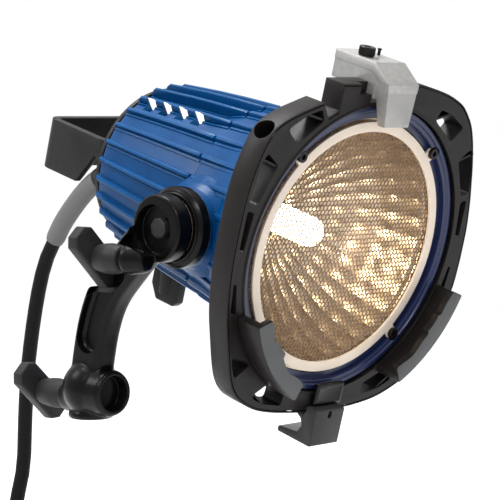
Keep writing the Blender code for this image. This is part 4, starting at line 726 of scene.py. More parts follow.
def make_housing():
    """Ribbed rear housing with its air vents, its fins deeper along the top."""
    levels = []
    for z, drop, rise in RIB_ENDS:
        share = (z - HOUSING_REAR) / (HOUSING_FRONT - HOUSING_REAR)
        swell = 0.9 * math.sin(math.pi * min(max(share, 0), 1))
        radius = housing_at(z) - drop + swell
        deep = FIN_DEPTH * min(1.0, max(0.0, (-81 - z) / 12)) * min(1.0, (z + 166) / 5)
        levels.append((z, radius, settings().rib_height / MM * rise, 0.9 * rise, deep))
    bm, rows = ribbed_body(levels)
    bm = closed_ends(bm, rows, 40.0, 50.0, HOUSING_REAR + 0.4, HOUSING_FRONT)
    tools = []
    for angle in VENT_ANGLES:
        for k in range(VENTS):
            z = HOUSING_REAR + 14 + k * VENT_PITCH
            place = Matrix.Translation(around(angle, housing_at(z) - 1, z))
            turn = Matrix.Rotation(math.radians(angle - 90), 4, "Z")
            tools.append(placed(block((-3.5, -5, -4), (3.5, 5, 4)), place @ turn))
    tools.append(bar(8.3, (0, -30, FOCUS_LEVEL), (0, -70, FOCUS_LEVEL)))
    tools += [bar(2.0, around(a, COVER_SCREW_CIRCLE, -170), around(a, COVER_SCREW_CIRCLE, -158), steps=16)
              for a in COVER_SCREW_ANGLES]
    bm = cut(bm, *tools)
    # the inner faces take the glowing liner finish: painted light for the bulb's light inside the housing
    second_faces(bm, lambda p, n: Vector((p.x, p.y, 0)).dot(n) < 0 and HOUSING_REAR + 1 < p.z)
    settle("ribbed_housing", bm, "blue", ["housing"], 32, "liner_painted_glow")
    rear, front = HOUSING_FRONT - 3, HOUSING_FRONT + 5
    collar = turned([(56.0, rear), (56.3, front), (54.3, front), (54.0, rear)], 96)
    settle("housing_spigot", collar, "blue", ())


def bell_rows():
    """The bell's skin from its rear edge to its rim, its ribs dying out on the way."""
    levels = []
    for k, p in enumerate(smooth_route(BELL_OUTER, 2.5)):
        fade = min(max((-36 - p.y) / 34, 0.0), 1.0)
        if k == 0:
            levels.append((p.y, p.x - 0.6, 0.0, 0.0, 0.0))
            levels.append((p.y + 0.7, p.x + 0.1, 2.9, 0.7, 0.0))
        else:
            levels.append((p.y, p.x, 3.0 * fade ** 0.7, 0.8 * fade, 0.0))
    return levels


def make_bell():
    """Front bell with its stepped rim, the pivot boss that grows out of it and the guard's pockets."""
    bm, rows = ribbed_body(bell_rows())
    loops = [rows[-1]] + [loop_at(bm, len(rows[0]), r, z) for r, z in BELL_FRONT]
    for a, b in zip(loops, loops[1:]):
        bmesh.ops.bridge_loops(bm, edges=a + b)
    bmesh.ops.bridge_loops(bm, edges=loops[-1] + rows[0])
    bmesh.ops.recalc_face_normals(bm, faces=bm.faces)
    axle = (-LAMP_RISE, -LAMP_REACH)
    boss = turned([(0, 0), (20.6, 0), (21.4, 1.0), (22.6, 5), (25.2, 9), (29.5, 13), (29.5, 14), (0, 14)],
                  72, 0.5, True)
    placed(boss, aimed((BOSS_FACE, *axle), (0, *axle)))
    bm = fused(bm, boss)
    pockets = [bar(EAR_RADIUS + 0.4, around(a, EAR_CIRCLE, GUARD_TOP - GAP), around(a, EAR_CIRCLE, 9))
               for a in EAR_ANGLES]
    hole = bar(AXLE_HOLE, (BOSS_FACE - 5, *axle), (BOSS_FACE + 20, *axle))
    bm = cut(bm, *pockets, hole)
    second_faces(bm, lambda p, n: math.hypot(p.x, p.y) > 70 and p.z > -5)
    settle("front_bell_shell", bm, "blue", ["front_bell"], 32, "rim_blue")
    nut_pad = bar(8.4, (BOSS_FACE + 6, *axle), (BOSS_FACE + 13.2, *axle), ease=0.5)
    hole = bar(AXLE_HOLE, (BOSS_FACE, *axle), (BOSS_FACE + 20, *axle))
    settle("nut_pad", cut(nut_pad, hole), "liner", ())


# reflector, bulb and guard


def make_reflector():
    """Bowl of polished facets, each one swelling a little towards the lamp's axis."""
    facets, rows, cells = 36, 6, 4
    floor = SEAT_FLOOR + GAP
    profile = [Vector((p.x, 0, p.y + floor)) for p in even(smooth_route(BOWL, 1.0), rows * cells)]
    bm = bmesh.new()
    ring = [bm.verts.new(p) for p in profile]
    edges = [bm.edges.new(pair) for pair in zip(ring, ring[1:])]
    bmesh.ops.spin(bm, geom=ring + edges, axis=(0, 0, 1), cent=(0, 0, 0), angle=math.tau,
                   steps=facets * cells, use_merge=True, use_duplicate=False)
    bmesh.ops.remove_doubles(bm, verts=bm.verts, dist=1e-3)
    for v in bm.verts:
        row = min(range(len(profile)), key=lambda k: abs(profile[k].z - v.co.z))
        s = (row % cells) / cells
        t = (math.degrees(math.atan2(v.co.y, v.co.x)) % (360 / facets)) / (360 / facets)
        swell = (1 - (2 * s - 1) ** 2) * (1 - (2 * t - 1) ** 2)
        inward = Vector((v.co.x, v.co.y, 0)).normalized() * -0.8
        v.co += (inward + Vector((0, 0, 0.6))) * swell
    bmesh.ops.recalc_face_normals(bm, faces=bm.faces)
    if sum(f.normal.xy.dot(f.calc_center_median().xy) for f in bm.faces) > 0:
        bmesh.ops.reverse_faces(bm, faces=bm.faces)
    made = settle("reflector_bowl", bm, "mirror", ["reflector"], 14)
    wall = made.modifiers.new("wall", "SOLIDIFY")
    wall.thickness = 0.8 * MM
    wall.offset = -1.0
    flange = turned([(71.4, floor), (76.6, floor), (76.6, floor + 1), (71.4, floor + 1)], 96)
    settle("reflector_flange", flange, "mirror", ())


def make_bulb():
    """Lit bulb and its pinch, in the ceramic holder on the carriage."""
    base = -74.7
    shape = [(0, 6), (6.0, 6.5), (9.0, 10), (9.0, 43), (8.4, 47.0), (5.6, 50), (2.2, 51.6), (1.0, 53.6),
             (0, 54)]
    envelope = turned([(r, base + z) for r, z in shape], 48, 0.4, True)
    settle("bulb_envelope", envelope, "glow", ["bulb"], body="lamp_carriage")
    pinch = block((-6.4, -2.3, base), (6.4, 2.3, base + 9), 0.8, 3)
    settle("bulb_pinch", pinch, "glow", (), body="lamp_carriage")
    repaint("ceramic", "lamp_holder")


def hex_net(reach, pitch, wire, thick, top):
    """Expanded sheet of small six-sided gaps, clipped to a disc."""
    bm = bmesh.new()
    corner = pitch / math.sqrt(3)
    turn = Matrix.Rotation(math.pi / 6, 4, "Z")
    rows = int(reach / pitch) + 2
    for i in range(-2 * rows, 2 * rows + 1):
        for j in range(-rows, rows + 1):
            x, y = pitch * (i + j / 2), pitch * j * math.sqrt(3) / 2
            if math.hypot(x, y) < reach + pitch * 0.3:
                bmesh.ops.create_circle(bm, segments=6, radius=corner, cap_ends=True,
                                        matrix=Matrix.Translation((x, y, 0)) @ turn)
    bmesh.ops.remove_doubles(bm, verts=bm.verts, dist=pitch * 0.05)
    bmesh.ops.inset_individual(bm, faces=bm.faces[:], thickness=wire / 2)
    inner = [f for f in bm.faces if len(f.verts) == 6]
    bmesh.ops.delete(bm, geom=inner, context="FACES")
    for v in bm.verts:
        far = math.hypot(v.co.x, v.co.y)
        if far > reach:
            v.co *= reach / far
    bmesh.ops.translate(bm, verts=bm.verts, vec=(0, 0, top))
    bmesh.ops.recalc_face_normals(bm, faces=bm.faces)
    if sum(f.normal.z for f in bm.faces) < 0:
        bmesh.ops.reverse_faces(bm, faces=bm.faces)
    bmesh.ops.solidify(bm, geom=bm.faces[:], thickness=thick)
    return bm


def cap_screw(radius, height, length, shank):
    """Socket-head screw that points along -Z from its seat at the origin."""
    head = turned([(0, 0), (radius, 0), (radius, height), (0, height)], 28, 0.35, True)
    head = cut(head, bar(radius * 0.52, (0, 0, height * 0.35), (0, 0, height * 2), steps=6))
    stem = bar(shank, (0, 0, -length), (0, 0, 0.2), steps=16)
    return merged(head, stem)


def settle_screws(kind, size, seats):
    """Like screws as one piece. Each seat has its place and the way that the screw's head points."""
    screws = [placed(cap_screw(*size), aimed(place, place + way)) for place, way in seats]
    names = [f"{kind}_{k + 1}" for k in range(len(screws))]
    settle(f"{kind}s", merged(*screws), "dark_steel", names, 40)


def make_guard():
    """Fine wire guard, the cream ring over it with four ears, and the ring's screws."""
    net = hex_net(76.0, settings().mesh_pitch / MM, settings().mesh_wire / MM, 0.5, GUARD_TOP - 0.9)
    settle("wire_guard", net, "wire", ["guard_mesh"], 180)
    low, high = GUARD_TOP + GAP, GUARD_TOP + 1.9
    middle = EAR_CIRCLE - 0.6
    ring = turned([(69.6, low), (75.6, low), (75.6, high), (69.6, high)], 144, 0.35)
    ears = [bar(EAR_RADIUS, around(a, middle, low), around(a, middle, high), ease=0.3, steps=32)
            for a in EAR_ANGLES]
    feet = [placed(block((71, -EAR_RADIUS, low), (middle, EAR_RADIUS, high), 0.3),
                   Matrix.Rotation(math.radians(a), 4, "Z")) for a in EAR_ANGLES]
    settle("guard_retaining_ring", fused(ring, *ears, *feet), "cream", ["guard_ring"], 40)
    settle_screws("guard_screw", (3.35, 2.2, 6, 1.5),
                  [(around(a, EAR_CIRCLE, high + 0.1), UP) for a in EAR_ANGLES])


# accessory frame, latch and bracket

FRAME_FRONT, FRAME_REAR = 5.0, -9.5
FRAME_EDGE = [(100.9, 8.0), (99.6, 18.0), (97.8, 28.0), (95.4, 38.0), (92.7, 48.6), (88.6, 61.2),
              (85.0, 69.5), (81.8, 75.0), (77.8, 79.7), (73.2, 84.2), (67.8, 87.8), (55.2, 92.8),
              (38.7, 96.7), (24.4, 98.9), (0.0, 99.0), (-38.0, 98.5), (-38.0, 83.2), (-45.5, 79.4),
              (-50.9, 87.9), (-59.9, 84.9), (-68.9, 81.8), (-77.2, 78.2), (-82.4, 75.2), (-86.2, 71.9),
              (-89.2, 67.3), (-91.8, 61.5), (-95.2, 50.5), (-97.3, 39.4), (-98.4, 25.4), (-98.6, 9.9),
              (-98.2, -4.4), (-96.4, -20.0), (-93.2, -35.9), (-88.5, -50.8), (-82.9, -67.0), (-78.7, -76.0),
              (-73.2, -82.8), (-65.7, -87.8), (-55.0, -92.5), (-41.9, -95.5), (-27.7, -97.3), (-12.0, -98.6),
              (12.0, -98.9), (28.0, -98.6), (48.1, -95.6), (64.0, -89.8), (72.5, -84.6), (79.0, -78.4),
              (85.4, -69.0), (91.6, -55.0), (97.0, -41.0), (100.5, -28.0), (101.4, -14.0), (101.3, -3.0)]
WINDOWS = [[(-47.7, 77.3), (-51.2, 83.9), (-62.0, 80.6), (-75.4, 72.7), (-65.9, 64.2), (-56.5, 71.0)],
           [(-77.3, 52.4), (-87.3, 59.8), (-90.2, 54.0), (-94.5, 31.5), (-87.4, 30.1)],
           [(-88.4, 26.2), (-94.0, 27.6), (-94.4, 4.2), (-90.8, 3.4)],
           [(-91.0, -14.6), (-93.3, -15.0), (-91.4, -31.0), (-86.2, -34.2)],
           [(-84.2, -57.2), (-66.0, -63.4), (-77.8, -71.4)],
           [(-61.6, -84.0), (-50.4, -77.8), (-33.4, -85.2), (-34.4, -92.0), (-50.0, -89.4)]]
WINDOW_RIBS = [((-60.6, 80.6), (-47.7, 77.7)), ((-89.7, 56.0), (-75.8, 51.1)),
               ((-61.6, -80.0), (-47.0, -91.0))]
SCREW_ANGLES = (39.5, 140.5, 256.0, 284.0)
# each hook's start and end round the mouth, and its tooth's
HOOKS = {"right": (-59.5, -17.0, -38.0, -28.5), "left": (-158.0, -118.0, -147.0, -138.0)}
HOOK_FRONT, HOOK_BACK = 22.5, 17.9
MOUTH_RADIUS = 86.3
LATCH_GAP = 13.4  # half the width of the opening that the latch stands in
HINGE_RISE, HINGE_LEVEL, HINGE_HOLE = 94, -4.5, 2.3
SCREW_LEVEL = -2.4


def arc(start, end, radius, steps):
    """Points on an arc between two angles."""
    return [around(start + (end - start) * k / steps, radius).xy for k in range(steps + 1)]


def make_frame():
    """Cast accessory frame: a rounded square with pockets, thin ribs, access holes and the latch's lugs."""
    edge = softened(FRAME_EDGE)
    bm = slab(edge, FRAME_REAR, FRAME_FRONT, 0.5, 2)
    low, high = FRAME_REAR - 1, FRAME_FRONT + 1
    tools = [bar(MOUTH_RADIUS, (0, 0, low), (0, 0, high), steps=144)]
    for window in WINDOWS:
        for side in (1, -1):
            tools.append(slab(filleted([(side * x, y) for x, y in window], 2.4, 3), low, high))
    tools.append(block((-LATCH_GAP, 87.8, low), (LATCH_GAP, 108, high)))
    tools.append(block((-LATCH_GAP - 10, 92.5, 0), (1 - LATCH_GAP, 100, high)))
    tools.append(bar(HINGE_HOLE, (-24, HINGE_RISE, HINGE_LEVEL), (24, HINGE_RISE, HINGE_LEVEL)))
    for a in SCREW_ANGLES:
        tools.append(bar(6.2, around(a, 93, SCREW_LEVEL), around(a, 118, SCREW_LEVEL)))
        tools.append(bar(2.4, around(a, 84, SCREW_LEVEL), around(a, 96, SCREW_LEVEL)))
    inner = [p * (1 - 1.75 / p.length) for p in edge]
    outer = [p * (1 - 0.95 / p.length) for p in edge]
    tools.append(cut(slab(outer, FRAME_FRONT - 1.6, high), slab(inner, FRAME_FRONT - 3, high + 1)))
    bm = cut(bm, *tools)
    ribs = []
    for (ax, ay), (bx, by) in WINDOW_RIBS:
        for side in (1, -1):
            a, b = Vector((side * ax, ay)), Vector((side * bx, by))
            across = Vector((a.y - b.y, b.x - a.x)).normalized() * 0.6
            long = (b - a).normalized() * 1.5
            ribs.append(slab([a - long + across, b + long + across, b + long - across, a - long - across],
                             FRAME_REAR + 1, FRAME_FRONT - 0.8))
    lip = turned([(MOUTH_RADIUS, -8.5), (87.6, -8.5), (87.6, 5.3), (87.1, 5.8), (MOUTH_RADIUS, 5.8)],
                 144, 0.3)
    lip = cut(lip, block((-LATCH_GAP, 60, low), (LATCH_GAP, 108, high)))
    settle("accessory_frame_casting", merged(bm, lip, *ribs), "satin", ["accessory_frame"],
           30)
    settle_screws("frame_screw", (3.6, 3.0, 10, 2.0),
                  [(around(a, 93.3, SCREW_LEVEL), around(a, 1.0)) for a in SCREW_ANGLES])


def make_hooks():
    """Curved hooks for an accessory's rim, each with a waved inner edge on its flat front face."""
    steps, over = 40, 0.4
    for name, (start, end, tooth_start, tooth_end) in HOOKS.items():
        wall = slab(arc(start, end, 92, 20) + arc(end, start, 87, 20), 5.3, HOOK_FRONT - 0.4, 0.5)
        waved = []
        for k in range(steps + 1):
            angle = end - over + (start - end + 2 * over) * k / steps
            tooth = 2.4 if tooth_start < angle < tooth_end else 0.0
            waved.append(around(angle, 81.6 + 0.8 * math.cos(math.radians(angle * 22)) - tooth).xy)
        lip = slab(filleted(arc(start, end, 91.8, 24) + waved, 0.8, 2), HOOK_BACK, HOOK_FRONT, 0.45)
        # the flat front faces get the lighter grey finish: a painted sheen on the black hooks
        body = second_faces(fused(wall, lip), lambda p, n: p.z > HOOK_FRONT - 0.2 and n.z > 0.9)
        settle(f"accessory_hook_{name}", body, "satin", [f"frame_hook_{name}"], 30,
               "face")


LATCH_SIDE = [(9.6, 76.0), (15.0, 76.0), (15.5, 101.0), (2.0, 110.4), (-28.6, 110.7), (-28.6, 94.5),
              (-15.0, 94.5), (-11.5, 91.6), (-9.0, 90.4), (7.0, 90.4)]
LATCH_BAND = [(15.4, 95.5), (15.5, 101.0), (2.0, 110.4), (-28.6, 110.7), (-28.6, 105.2), (0.2, 104.8),
              (11.0, 97.6)]
LATCH_TOP, LATCH_SCREW_X, LATCH_PEG_X, LATCH_SCREW_LEVEL = 111.0, -5.5, 5, -12.0
KNURLS = 26


def make_latch():
    """Grey latch casting with a proud upper band, its knurled screw and its stop pin."""
    bm = side_slab(LATCH_SIDE, -12.6, 12.6, 0.8)
    bm = fused(bm, side_slab(LATCH_BAND, -13.0, 13.0, 0.6))
    tools = [slab([(-8.6, 75), (-13.1, 101.5), (-20, 101.5), (-20, 75)], 5.0, 20),
             slab([(11.6, 75), (13.1, 101.5), (20, 101.5), (20, 75)], 5.0, 20),
             bar(HINGE_HOLE, (-20, HINGE_RISE, HINGE_LEVEL), (20, HINGE_RISE, HINGE_LEVEL))]
    bm = cut(bm, *tools)
    settle("latch_casting", rounded(bm, 0.25, 2, 55), "cast", ["top_latch"], 30,
           body="latch")
    head = turned([(0, 0), (4.6, 0), (4.8, 0.3), (4.8, 4.6), (4.4, 5.0), (0, 5.0)], 40, 0.0, True)
    knurl = blocks_round(KNURLS, (-0.28, 4.55, 0.5), (0.28, 5.2, 4.4))
    head = cut(head, knurl, bar(2.4, (0, 0, 2.2), (0, 0, 8), steps=6))
    stem = bar(2.0, (0, 0, -19), (0, 0, 0.4), steps=20)
    upright = Matrix.Rotation(math.radians(-90), 4, "X")
    seat = Matrix.Translation((LATCH_SCREW_X, LATCH_TOP, LATCH_SCREW_LEVEL))
    settle("latch_knurled_screw", merged(head, stem), "dark_steel", ["latch_screw"],
           body="latch_screw", matrix=LAMP @ seat @ upright)
    peg = turned([(0, 0), (0.9, 0), (0.9, 3.2), (1.3, 3.4), (1.3, 4.1), (0, 4.3)], 20, 0.15, True)
    seat = Matrix.Translation((LATCH_PEG_X, LATCH_TOP, LATCH_SCREW_LEVEL))
    settle("latch_peg", peg, "dark_steel", ["latch_stop_pin"], body="latch",
           matrix=LAMP @ seat @ upright)
    repaint("steel", "latch_pin")


BRACKET_SIDE = [(5.3, -94.2), (14.0, -94.2), (14.0, -117.0), (-13.0, -117.0), (-13.0, -113.5),
                (2.0, -111.6), (4.5, -107.0), (2.5, -103.0), (-3.0, -99.8), (5.3, -99.8)]


def make_bracket():
    """Bracket under the frame with a curved web, its screw, and the glossy pad above it."""
    bm = side_slab(filleted(BRACKET_SIDE, 1.6, 4), -12, 12, 0.5)
    bm = cut(bm, bar(1.7, (0, -98.4, 11), (0, -98.4, 20)), bar(1.5, (0, -96.9, 0), (0, -96.9, 20)))
    second_faces(bm, lambda p, n: p.z < 5.4 and abs(n.x) < 0.5)
    settle("lower_bracket", bm, "bracket", ["bottom_bracket"], 30, "cast")
    x, y = 2.0, -87.0
    pad = block((x - 11.5, y - 6.5, 5.3), (x + 11.5, y + 6.5, 8.9), 1.0, 4)
    pad = cut(pad, block((x - 9.3, y - 4.6, 8.5), (x + 9.3, y + 4.6, 12), 0.8, 3))
    settle("glossy_pad", pad, "pad", ["frame_pad"], 30)
    repaint("dark_steel", "bracket_screw")


# rear cover, strap handle and gland


def make_rear():
    """Rear cover with its air slots, and the bent strap handle screwed to it."""
    cover = bar(49, (0, 0, -168.3), (0, 0, -165.3), ease=0.8, steps=96)
    tools = []
    for low in range(-40, 0, 8):
        slot = filleted([(-16, low), (16, low), (16, low + 4), (-16, low + 4)], 1.9, 4)
        tools.append(slab(slot, -172, -162))
    inner = turned([(46.2, -168.8), (46.8, -168.8), (46.8, -167.8), (46.2, -167.8)], 96)
    bm = cut(cover, inner, *tools)
    settle("rear_cover_plate", bm, "grey_metal", ["rear_cover"], 30)
    settle_screws("cover_screw", (3.0, 1.8, 7, 1.6),
                  [(around(a, COVER_SCREW_CIRCLE, -168.6), -UP) for a in COVER_SCREW_ANGLES])
    make_strap()


def make_strap():
    """Bent strap handle, cut away beside the cable, with its screws."""
    half, face, rear, foot, corner = 42.5, -171.1, -222.5, 20, -168.7
    line = [(foot - half, face), (-half, face), (-half, rear), (half, rear), (half, face),
            (half - foot, face)]
    outline = strip(filleted(line, 6.0, 6, closed=False), 2.5)
    strap = placed(slab(outline, -15, 17), Matrix.Rotation(math.radians(90), 4, "X"))
    bmesh.ops.recalc_face_normals(strap, faces=strap.faces)
    notch = [(corner + 5, 3), (corner - 7.7, 3), (corner - 21.7, -18), (corner + 5, -18)]
    strap = cut(strap, side_slab(notch, -60, 60))
    settle("strap_handle", rounded(strap, 0.9, 3, 60), "grey_metal", ["rear_handle"], 32)
    repaint("dark_steel", "handle_screw_1", "handle_screw_2")
    repaint("grey", "cable_gland")


# yoke arm, pivot and handles

ARM_PATH = [(0.0, 18.0), (-1.6, 30.0), (-4.8, 45.0), (-7.6, 55.0), (-12.6, 67.0), (-20.0, 78.0),
            (-32.0, 90.0), (-45.0, 102.0), (-51.0, 107.0)]
FLUTE_PATH = [(-5.4, 47.5), (-8.8, 58.0), (-15.0, 71.0), (-24.0, 82.5), (-30.0, 88.0)]
AXLE = (PIVOT.y / MM, PIVOT.z / MM)
SOCKET_LEVEL, PORT_LEVEL = 17.5, 16
TILT_PLACE = Vector((-13.0, -44.0, 95.7))
STAND_PLACE = Vector((0.0, 20.0, 11.6))


def strip(path, half, cap=0):
    """Outline of a flat strip of even width along a path, with square or round ends."""
    left, right = [], []
    for k, p in enumerate(path):
        along = (path[min(k + 1, len(path) - 1)] - path[max(k - 1, 0)]).normalized()
        side = Vector((-along.y, along.x)) * half
        left.append(p + side)
        right.append(p - side)

    def round_end(centre, start):
        return [centre + Matrix.Rotation(-math.pi * k / cap, 2) @ (start - centre) for k in range(1, cap)]

    return left + round_end(path[-1], left[-1]) + right[::-1] + round_end(path[0], right[0])


def make_arm():
    """Cast arm: socket ball, ports, curved limb with its flute, and the cup of the pivot hub."""
    limb = side_slab(strip(smooth_route(ARM_PATH, 5), 12), -8, 8, 3.6, ARMWAYS, 3)
    hub = bar(19.5, (-2, *AXLE), (9, *AXLE), ease=1.0, steps=72)
    ball = bmesh.new()
    bmesh.ops.create_uvsphere(ball, u_segments=48, v_segments=24, radius=17,
                              matrix=Matrix.Translation((0, 0, SOCKET_LEVEL)))
    flange = bar(13.3, (0, 0, 0), (0, 0, 4), ease=0.8, steps=64)
    port = bar(15, (0, -4, PORT_LEVEL), (0, -20, PORT_LEVEL), 13.4, 1.6, 56)
    clamp = STAND_PLACE.z
    boss = bar(10.5, (0, 3, clamp), (0, 20, clamp), 9.5, 0.8, 56)
    x, y, z = TILT_PLACE
    lock = bar(8.0, (x + 5, y - 15, z + 1), (x, y, z), 9.2, 3.0, 56)
    bm = cast(merged(limb, hub, ball, flange, port, boss, lock), 0.85, 12)
    cup_y, cup_z = AXLE[0] + 2.4, AXLE[1] - 1.0
    throat = [(cup_y - 6, cup_z + 13.2), (-36, 107.0), (-33, 102.5), (cup_y + 4, cup_z - 13.8)]
    # the flute, the cup and its throat, the bolt's hole, the socket, the port, the clamp and the tilt lock
    tools = [side_slab(strip(smooth_route(FLUTE_PATH, 3), 8.8, 12), -16, -2.4, 2.6, ARMWAYS, 4),
             bar(14.6, (-16, cup_y, cup_z), (4, cup_y, cup_z), ease=0.8, steps=64),
             side_slab(filleted(throat, 3), -16, -2.0, 1.4, ARMWAYS, 3),
             bar(AXLE_HOLE, (3, *AXLE), (10, *AXLE)),
             bar(8.1, (0, 0, -1), (0, 0, 28), steps=48),
             bar(10.4, (0, -21, PORT_LEVEL), (0, -12.6, PORT_LEVEL), ease=0.6, steps=56),
             bar(5.3, (0, 0, clamp), (0, 15.3, clamp)),
             bar(4.4, (0, 0, clamp), (0, 21, clamp)),
             bar(23.5, (x, -23.4, z), (x, -5.0, z), steps=72),
             bar(9.3, (x, y, z), (x, -22.8, z))]
    bm = cut(bm, *tools)
    ring = turned([(10.4, 18.9), (12.6, 18.9), (12.6, 20.5), (10.4, 20.5)], 64, 0.7)
    placed(ring, Matrix.Translation((0, 0, PORT_LEVEL)) @ Matrix.Rotation(math.radians(90), 4, "X"))
    settle("yoke_casting", merged(bm, ring), "black", ["yoke_arm"], 38, body="yoke",
           matrix=ROW)
    repaint("brass", "clamp_shoe")
    repaint("steel", "stand_screw", "tilt_screw")


def wing_handle(name, node, body, place, cone_length, angle):
    """Moulded wing handle: a slit cone that ends in a wing with gripped faces."""
    half, wide, thick, corner = 21.0, 8.5, 8.0, 4.5
    high = cone_length + thick
    outline = [(-half, 4.0 - wide), (corner - half, -wide), (half - corner, -wide), (half, 4.0 - wide),
               (half, wide - corner), (half - corner, wide), (corner - half, wide), (-half, wide - corner)]
    wing = slab(filleted(outline, 1.5, 3), cone_length, high, 1.4, 3)
    recess, grips = [], []
    for way in (-1, 1):
        face = [(8, -5.6), (17.6, -5.6), (18.6, 0), (17.6, 5.6), (8, 5.6)]
        recess.append(slab(filleted([(way * x, y) for x, y in face], 1.2, 3), high - 0.7, high + 1))
        for k in range(4):
            x = way * (9.5 + 2.3 * k)
            grips.append(block((x - 0.45, -4.6, high - 1.0), (x + 0.45, 4.6, high - 0.1), 0.3))
    wing = cut(wing, *recess)
    cone = turned([(4.4, 0.3), (6.6, 0.3), (7.6, 1.2), (8.4, 5), (8.9, 10), (8.6, 15),
                   (7.4, cone_length + 1.2), (0, cone_length + 1.2), (0, cone_length - 3),
                   (4.4, cone_length - 3)], 56, 0.4, True)
    slit = block((-0.8, -12, 12), (0.8, -5.5, cone_length - 1.0))
    turn = Matrix.Rotation(math.radians(-90), 4, "X") @ Matrix.Rotation(-math.radians(angle), 4, "Z")
    settle(name, merged(wing, cut(cone, slit), *grips), "grey", [node], 32, body=body,
           matrix=ROW @ Matrix.Translation(place) @ turn)


def make_handles():
    """The stand clamp's handle and the tilt lock's handle."""
    wing_handle("stand_wing", "stand_handle", "stand_clamp", STAND_PLACE, 22.5, -43.8)
    wing_handle("tilt_wing", "tilt_handle", "tilt_lock", TILT_PLACE, 20.9, -46.0)


def make_pivot():
    """Pivot disc with a bright machined rim, the bolt's flat head deep in the cup, and the parts inside."""
    back = BOSS_FACE - GAP
    front = back - 9.3
    profile = [(AXLE_HOLE, front), (19.6, front), (20.4, front + 0.5), (21.2, front + 0.6),
               (23.5, front + 2.4), (23.5, back - 1.2), (23.1, back), (AXLE_HOLE, back)]
    disc = turned(profile, 96, 0.35)
    turn = Matrix.Rotation(math.radians(90), 4, "Y")
    at = LAMP @ Matrix.Translation((0, -LAMP_RISE, -LAMP_REACH)) @ turn
    second_faces(disc, lambda p, n: math.hypot(p.x, p.y) > 23.0 and p.z > back - 3.6)
    settle("tilt_disc", disc, "black", ["pivot_disc"], 30, "steel", matrix=at)
    seat = 3.7 - LAMP_SIDE
    head = [(0, seat - 4.4), (5.2, seat - 4.4), (6.2, seat - 3.6), (6.2, seat), (0, seat)]
    shank = bar(5.0, (0, 0, seat - 1), (0, 0, BOSS_FACE + 20.2), steps=40, ease=0.5)
    bolt = merged(turned(head, 8, 0.0, True), shank)
    settle("pivot_axle", bolt, "grey_metal", ["pivot_bolt"], 30, matrix=at)
    repaint("fibre", "friction_washer")
    repaint("steel", "pivot_nut")


def make_focus():
    """Paddle of the focus knob, and the drive inside the housing."""
    half, thick, top, low = 12.25, 7.0, -60.2, -80.6
    paddle = [(-half, top), (-half, low + 9), (6 - half, low), (half - 3, low), (half, low + 3), (half, top)]
    side = filleted([(FOCUS_LEVEL + z, y) for z, y in paddle], 1.6, 3)
    blade = side_slab(side, -thick / 2, thick / 2, 1.0, SIDEWAYS, 3)
    hub = bar(6.6, (0, top, FOCUS_LEVEL), (0, low + 5, FOCUS_LEVEL), 5.4, 0.8, 40)
    hole = bar(3.3, (0, top - 10.5, FOCUS_LEVEL), (0, top + 1, FOCUS_LEVEL))
    settle("focus_paddle", cut(fused(blade, hub), hole), "grey", ["focus_knob"], 32,
           body="focus")
    repaint("steel", "focus_shaft", "focus_bush", "guide_rod_left", "guide_rod_right")
    repaint("liner", "lamp_carriage", "bulkhead")


# stage

LIT_POINT = Vector((0.05, -0.05, 0.10))


def area_light(name, place, size, power, colour=(1, 1, 1)):
    """A soft light that looks at the middle of the object."""
    data = bpy.data.lights.new(name, "AREA")
    data.shape = "RECTANGLE"
    data.size, data.size_y = size
    data.energy = power
    data.color = colour
    made = bpy.data.objects.new(name, data)
    made.location = place
    made.rotation_euler = (LIT_POINT - Vector(place)).to_track_quat("-Z", "Y").to_euler()
    bpy.context.scene.collection.objects.link(made)


def any_ray(nodes, links, *kinds):
    """A value of one for rays of these kinds, and of nothing for the rest."""
    path = nodes.new("ShaderNodeLightPath")
    value = path.outputs[kinds[0]]
    for kind in kinds[1:]:
        larger = nodes.new("ShaderNodeMath")
        larger.operation = "MAXIMUM"
        links.new(value, larger.inputs[0])
        links.new(path.outputs[kind], larger.inputs[1])
        value = larger.outputs[0]
    return value


def make_world():
    """White for the camera, for gloss and through glass, and a dimmer light for what falls on the object."""
    world = bpy.data.worlds.new("studio")
    bpy.context.scene.world = world
    world.use_nodes = True
    nodes, links = world.node_tree.nodes, world.node_tree.links
    plain, white = nodes["Background"], nodes.new("ShaderNodeBackground")
    plain.inputs["Color"].default_value = (0.93, 0.96, 1.0, 1.0)
    plain.inputs["Strength"].default_value = 0.34
    white.inputs["Color"].default_value = (1, 1, 1, 1)
    white.inputs["Strength"].default_value = 1.0
    mix = nodes.new("ShaderNodeMixShader")
    links.new(any_ray(nodes, links, "Is Camera Ray", "Is Glossy Ray", "Is Transmission Ray"), mix.inputs[0])
    links.new(plain.outputs[0], mix.inputs[1])
    links.new(white.outputs[0], mix.inputs[2])
    links.new(mix.outputs[0], nodes["World Output"].inputs["Surface"])


def make_floor():
    """Pale floor that is white to the camera and keeps a shadow."""
    bm = bmesh.new()
    bmesh.ops.create_grid(bm, x_segments=1, y_segments=1, size=3.0)
    bmesh.ops.translate(bm, verts=bm.verts, vec=(0, 0, CAD_BOX[0][2] - 3 * MM))
    floor = as_object(bm, "floor")
    paper = bpy.data.materials.new("paper")
    paper.use_nodes = True
    nodes, links = paper.node_tree.nodes, paper.node_tree.links
    shader = shader_of(paper)
    shader.inputs["Base Color"].default_value = (0.90, 0.90, 0.90, 1)
    shader.inputs["Roughness"].default_value = 0.9
    shader.inputs["Emission Color"].default_value = (1, 1, 1, 1)
    bright = nodes.new("ShaderNodeMath")
    bright.operation = "MULTIPLY"
    bright.inputs[1].default_value = 0.62
    links.new(any_ray(nodes, links, "Is Camera Ray", "Is Glossy Ray"), bright.inputs[0])
    links.new(bright.outputs[0], shader.inputs["Emission Strength"])
    floor.data.materials.append(paper)


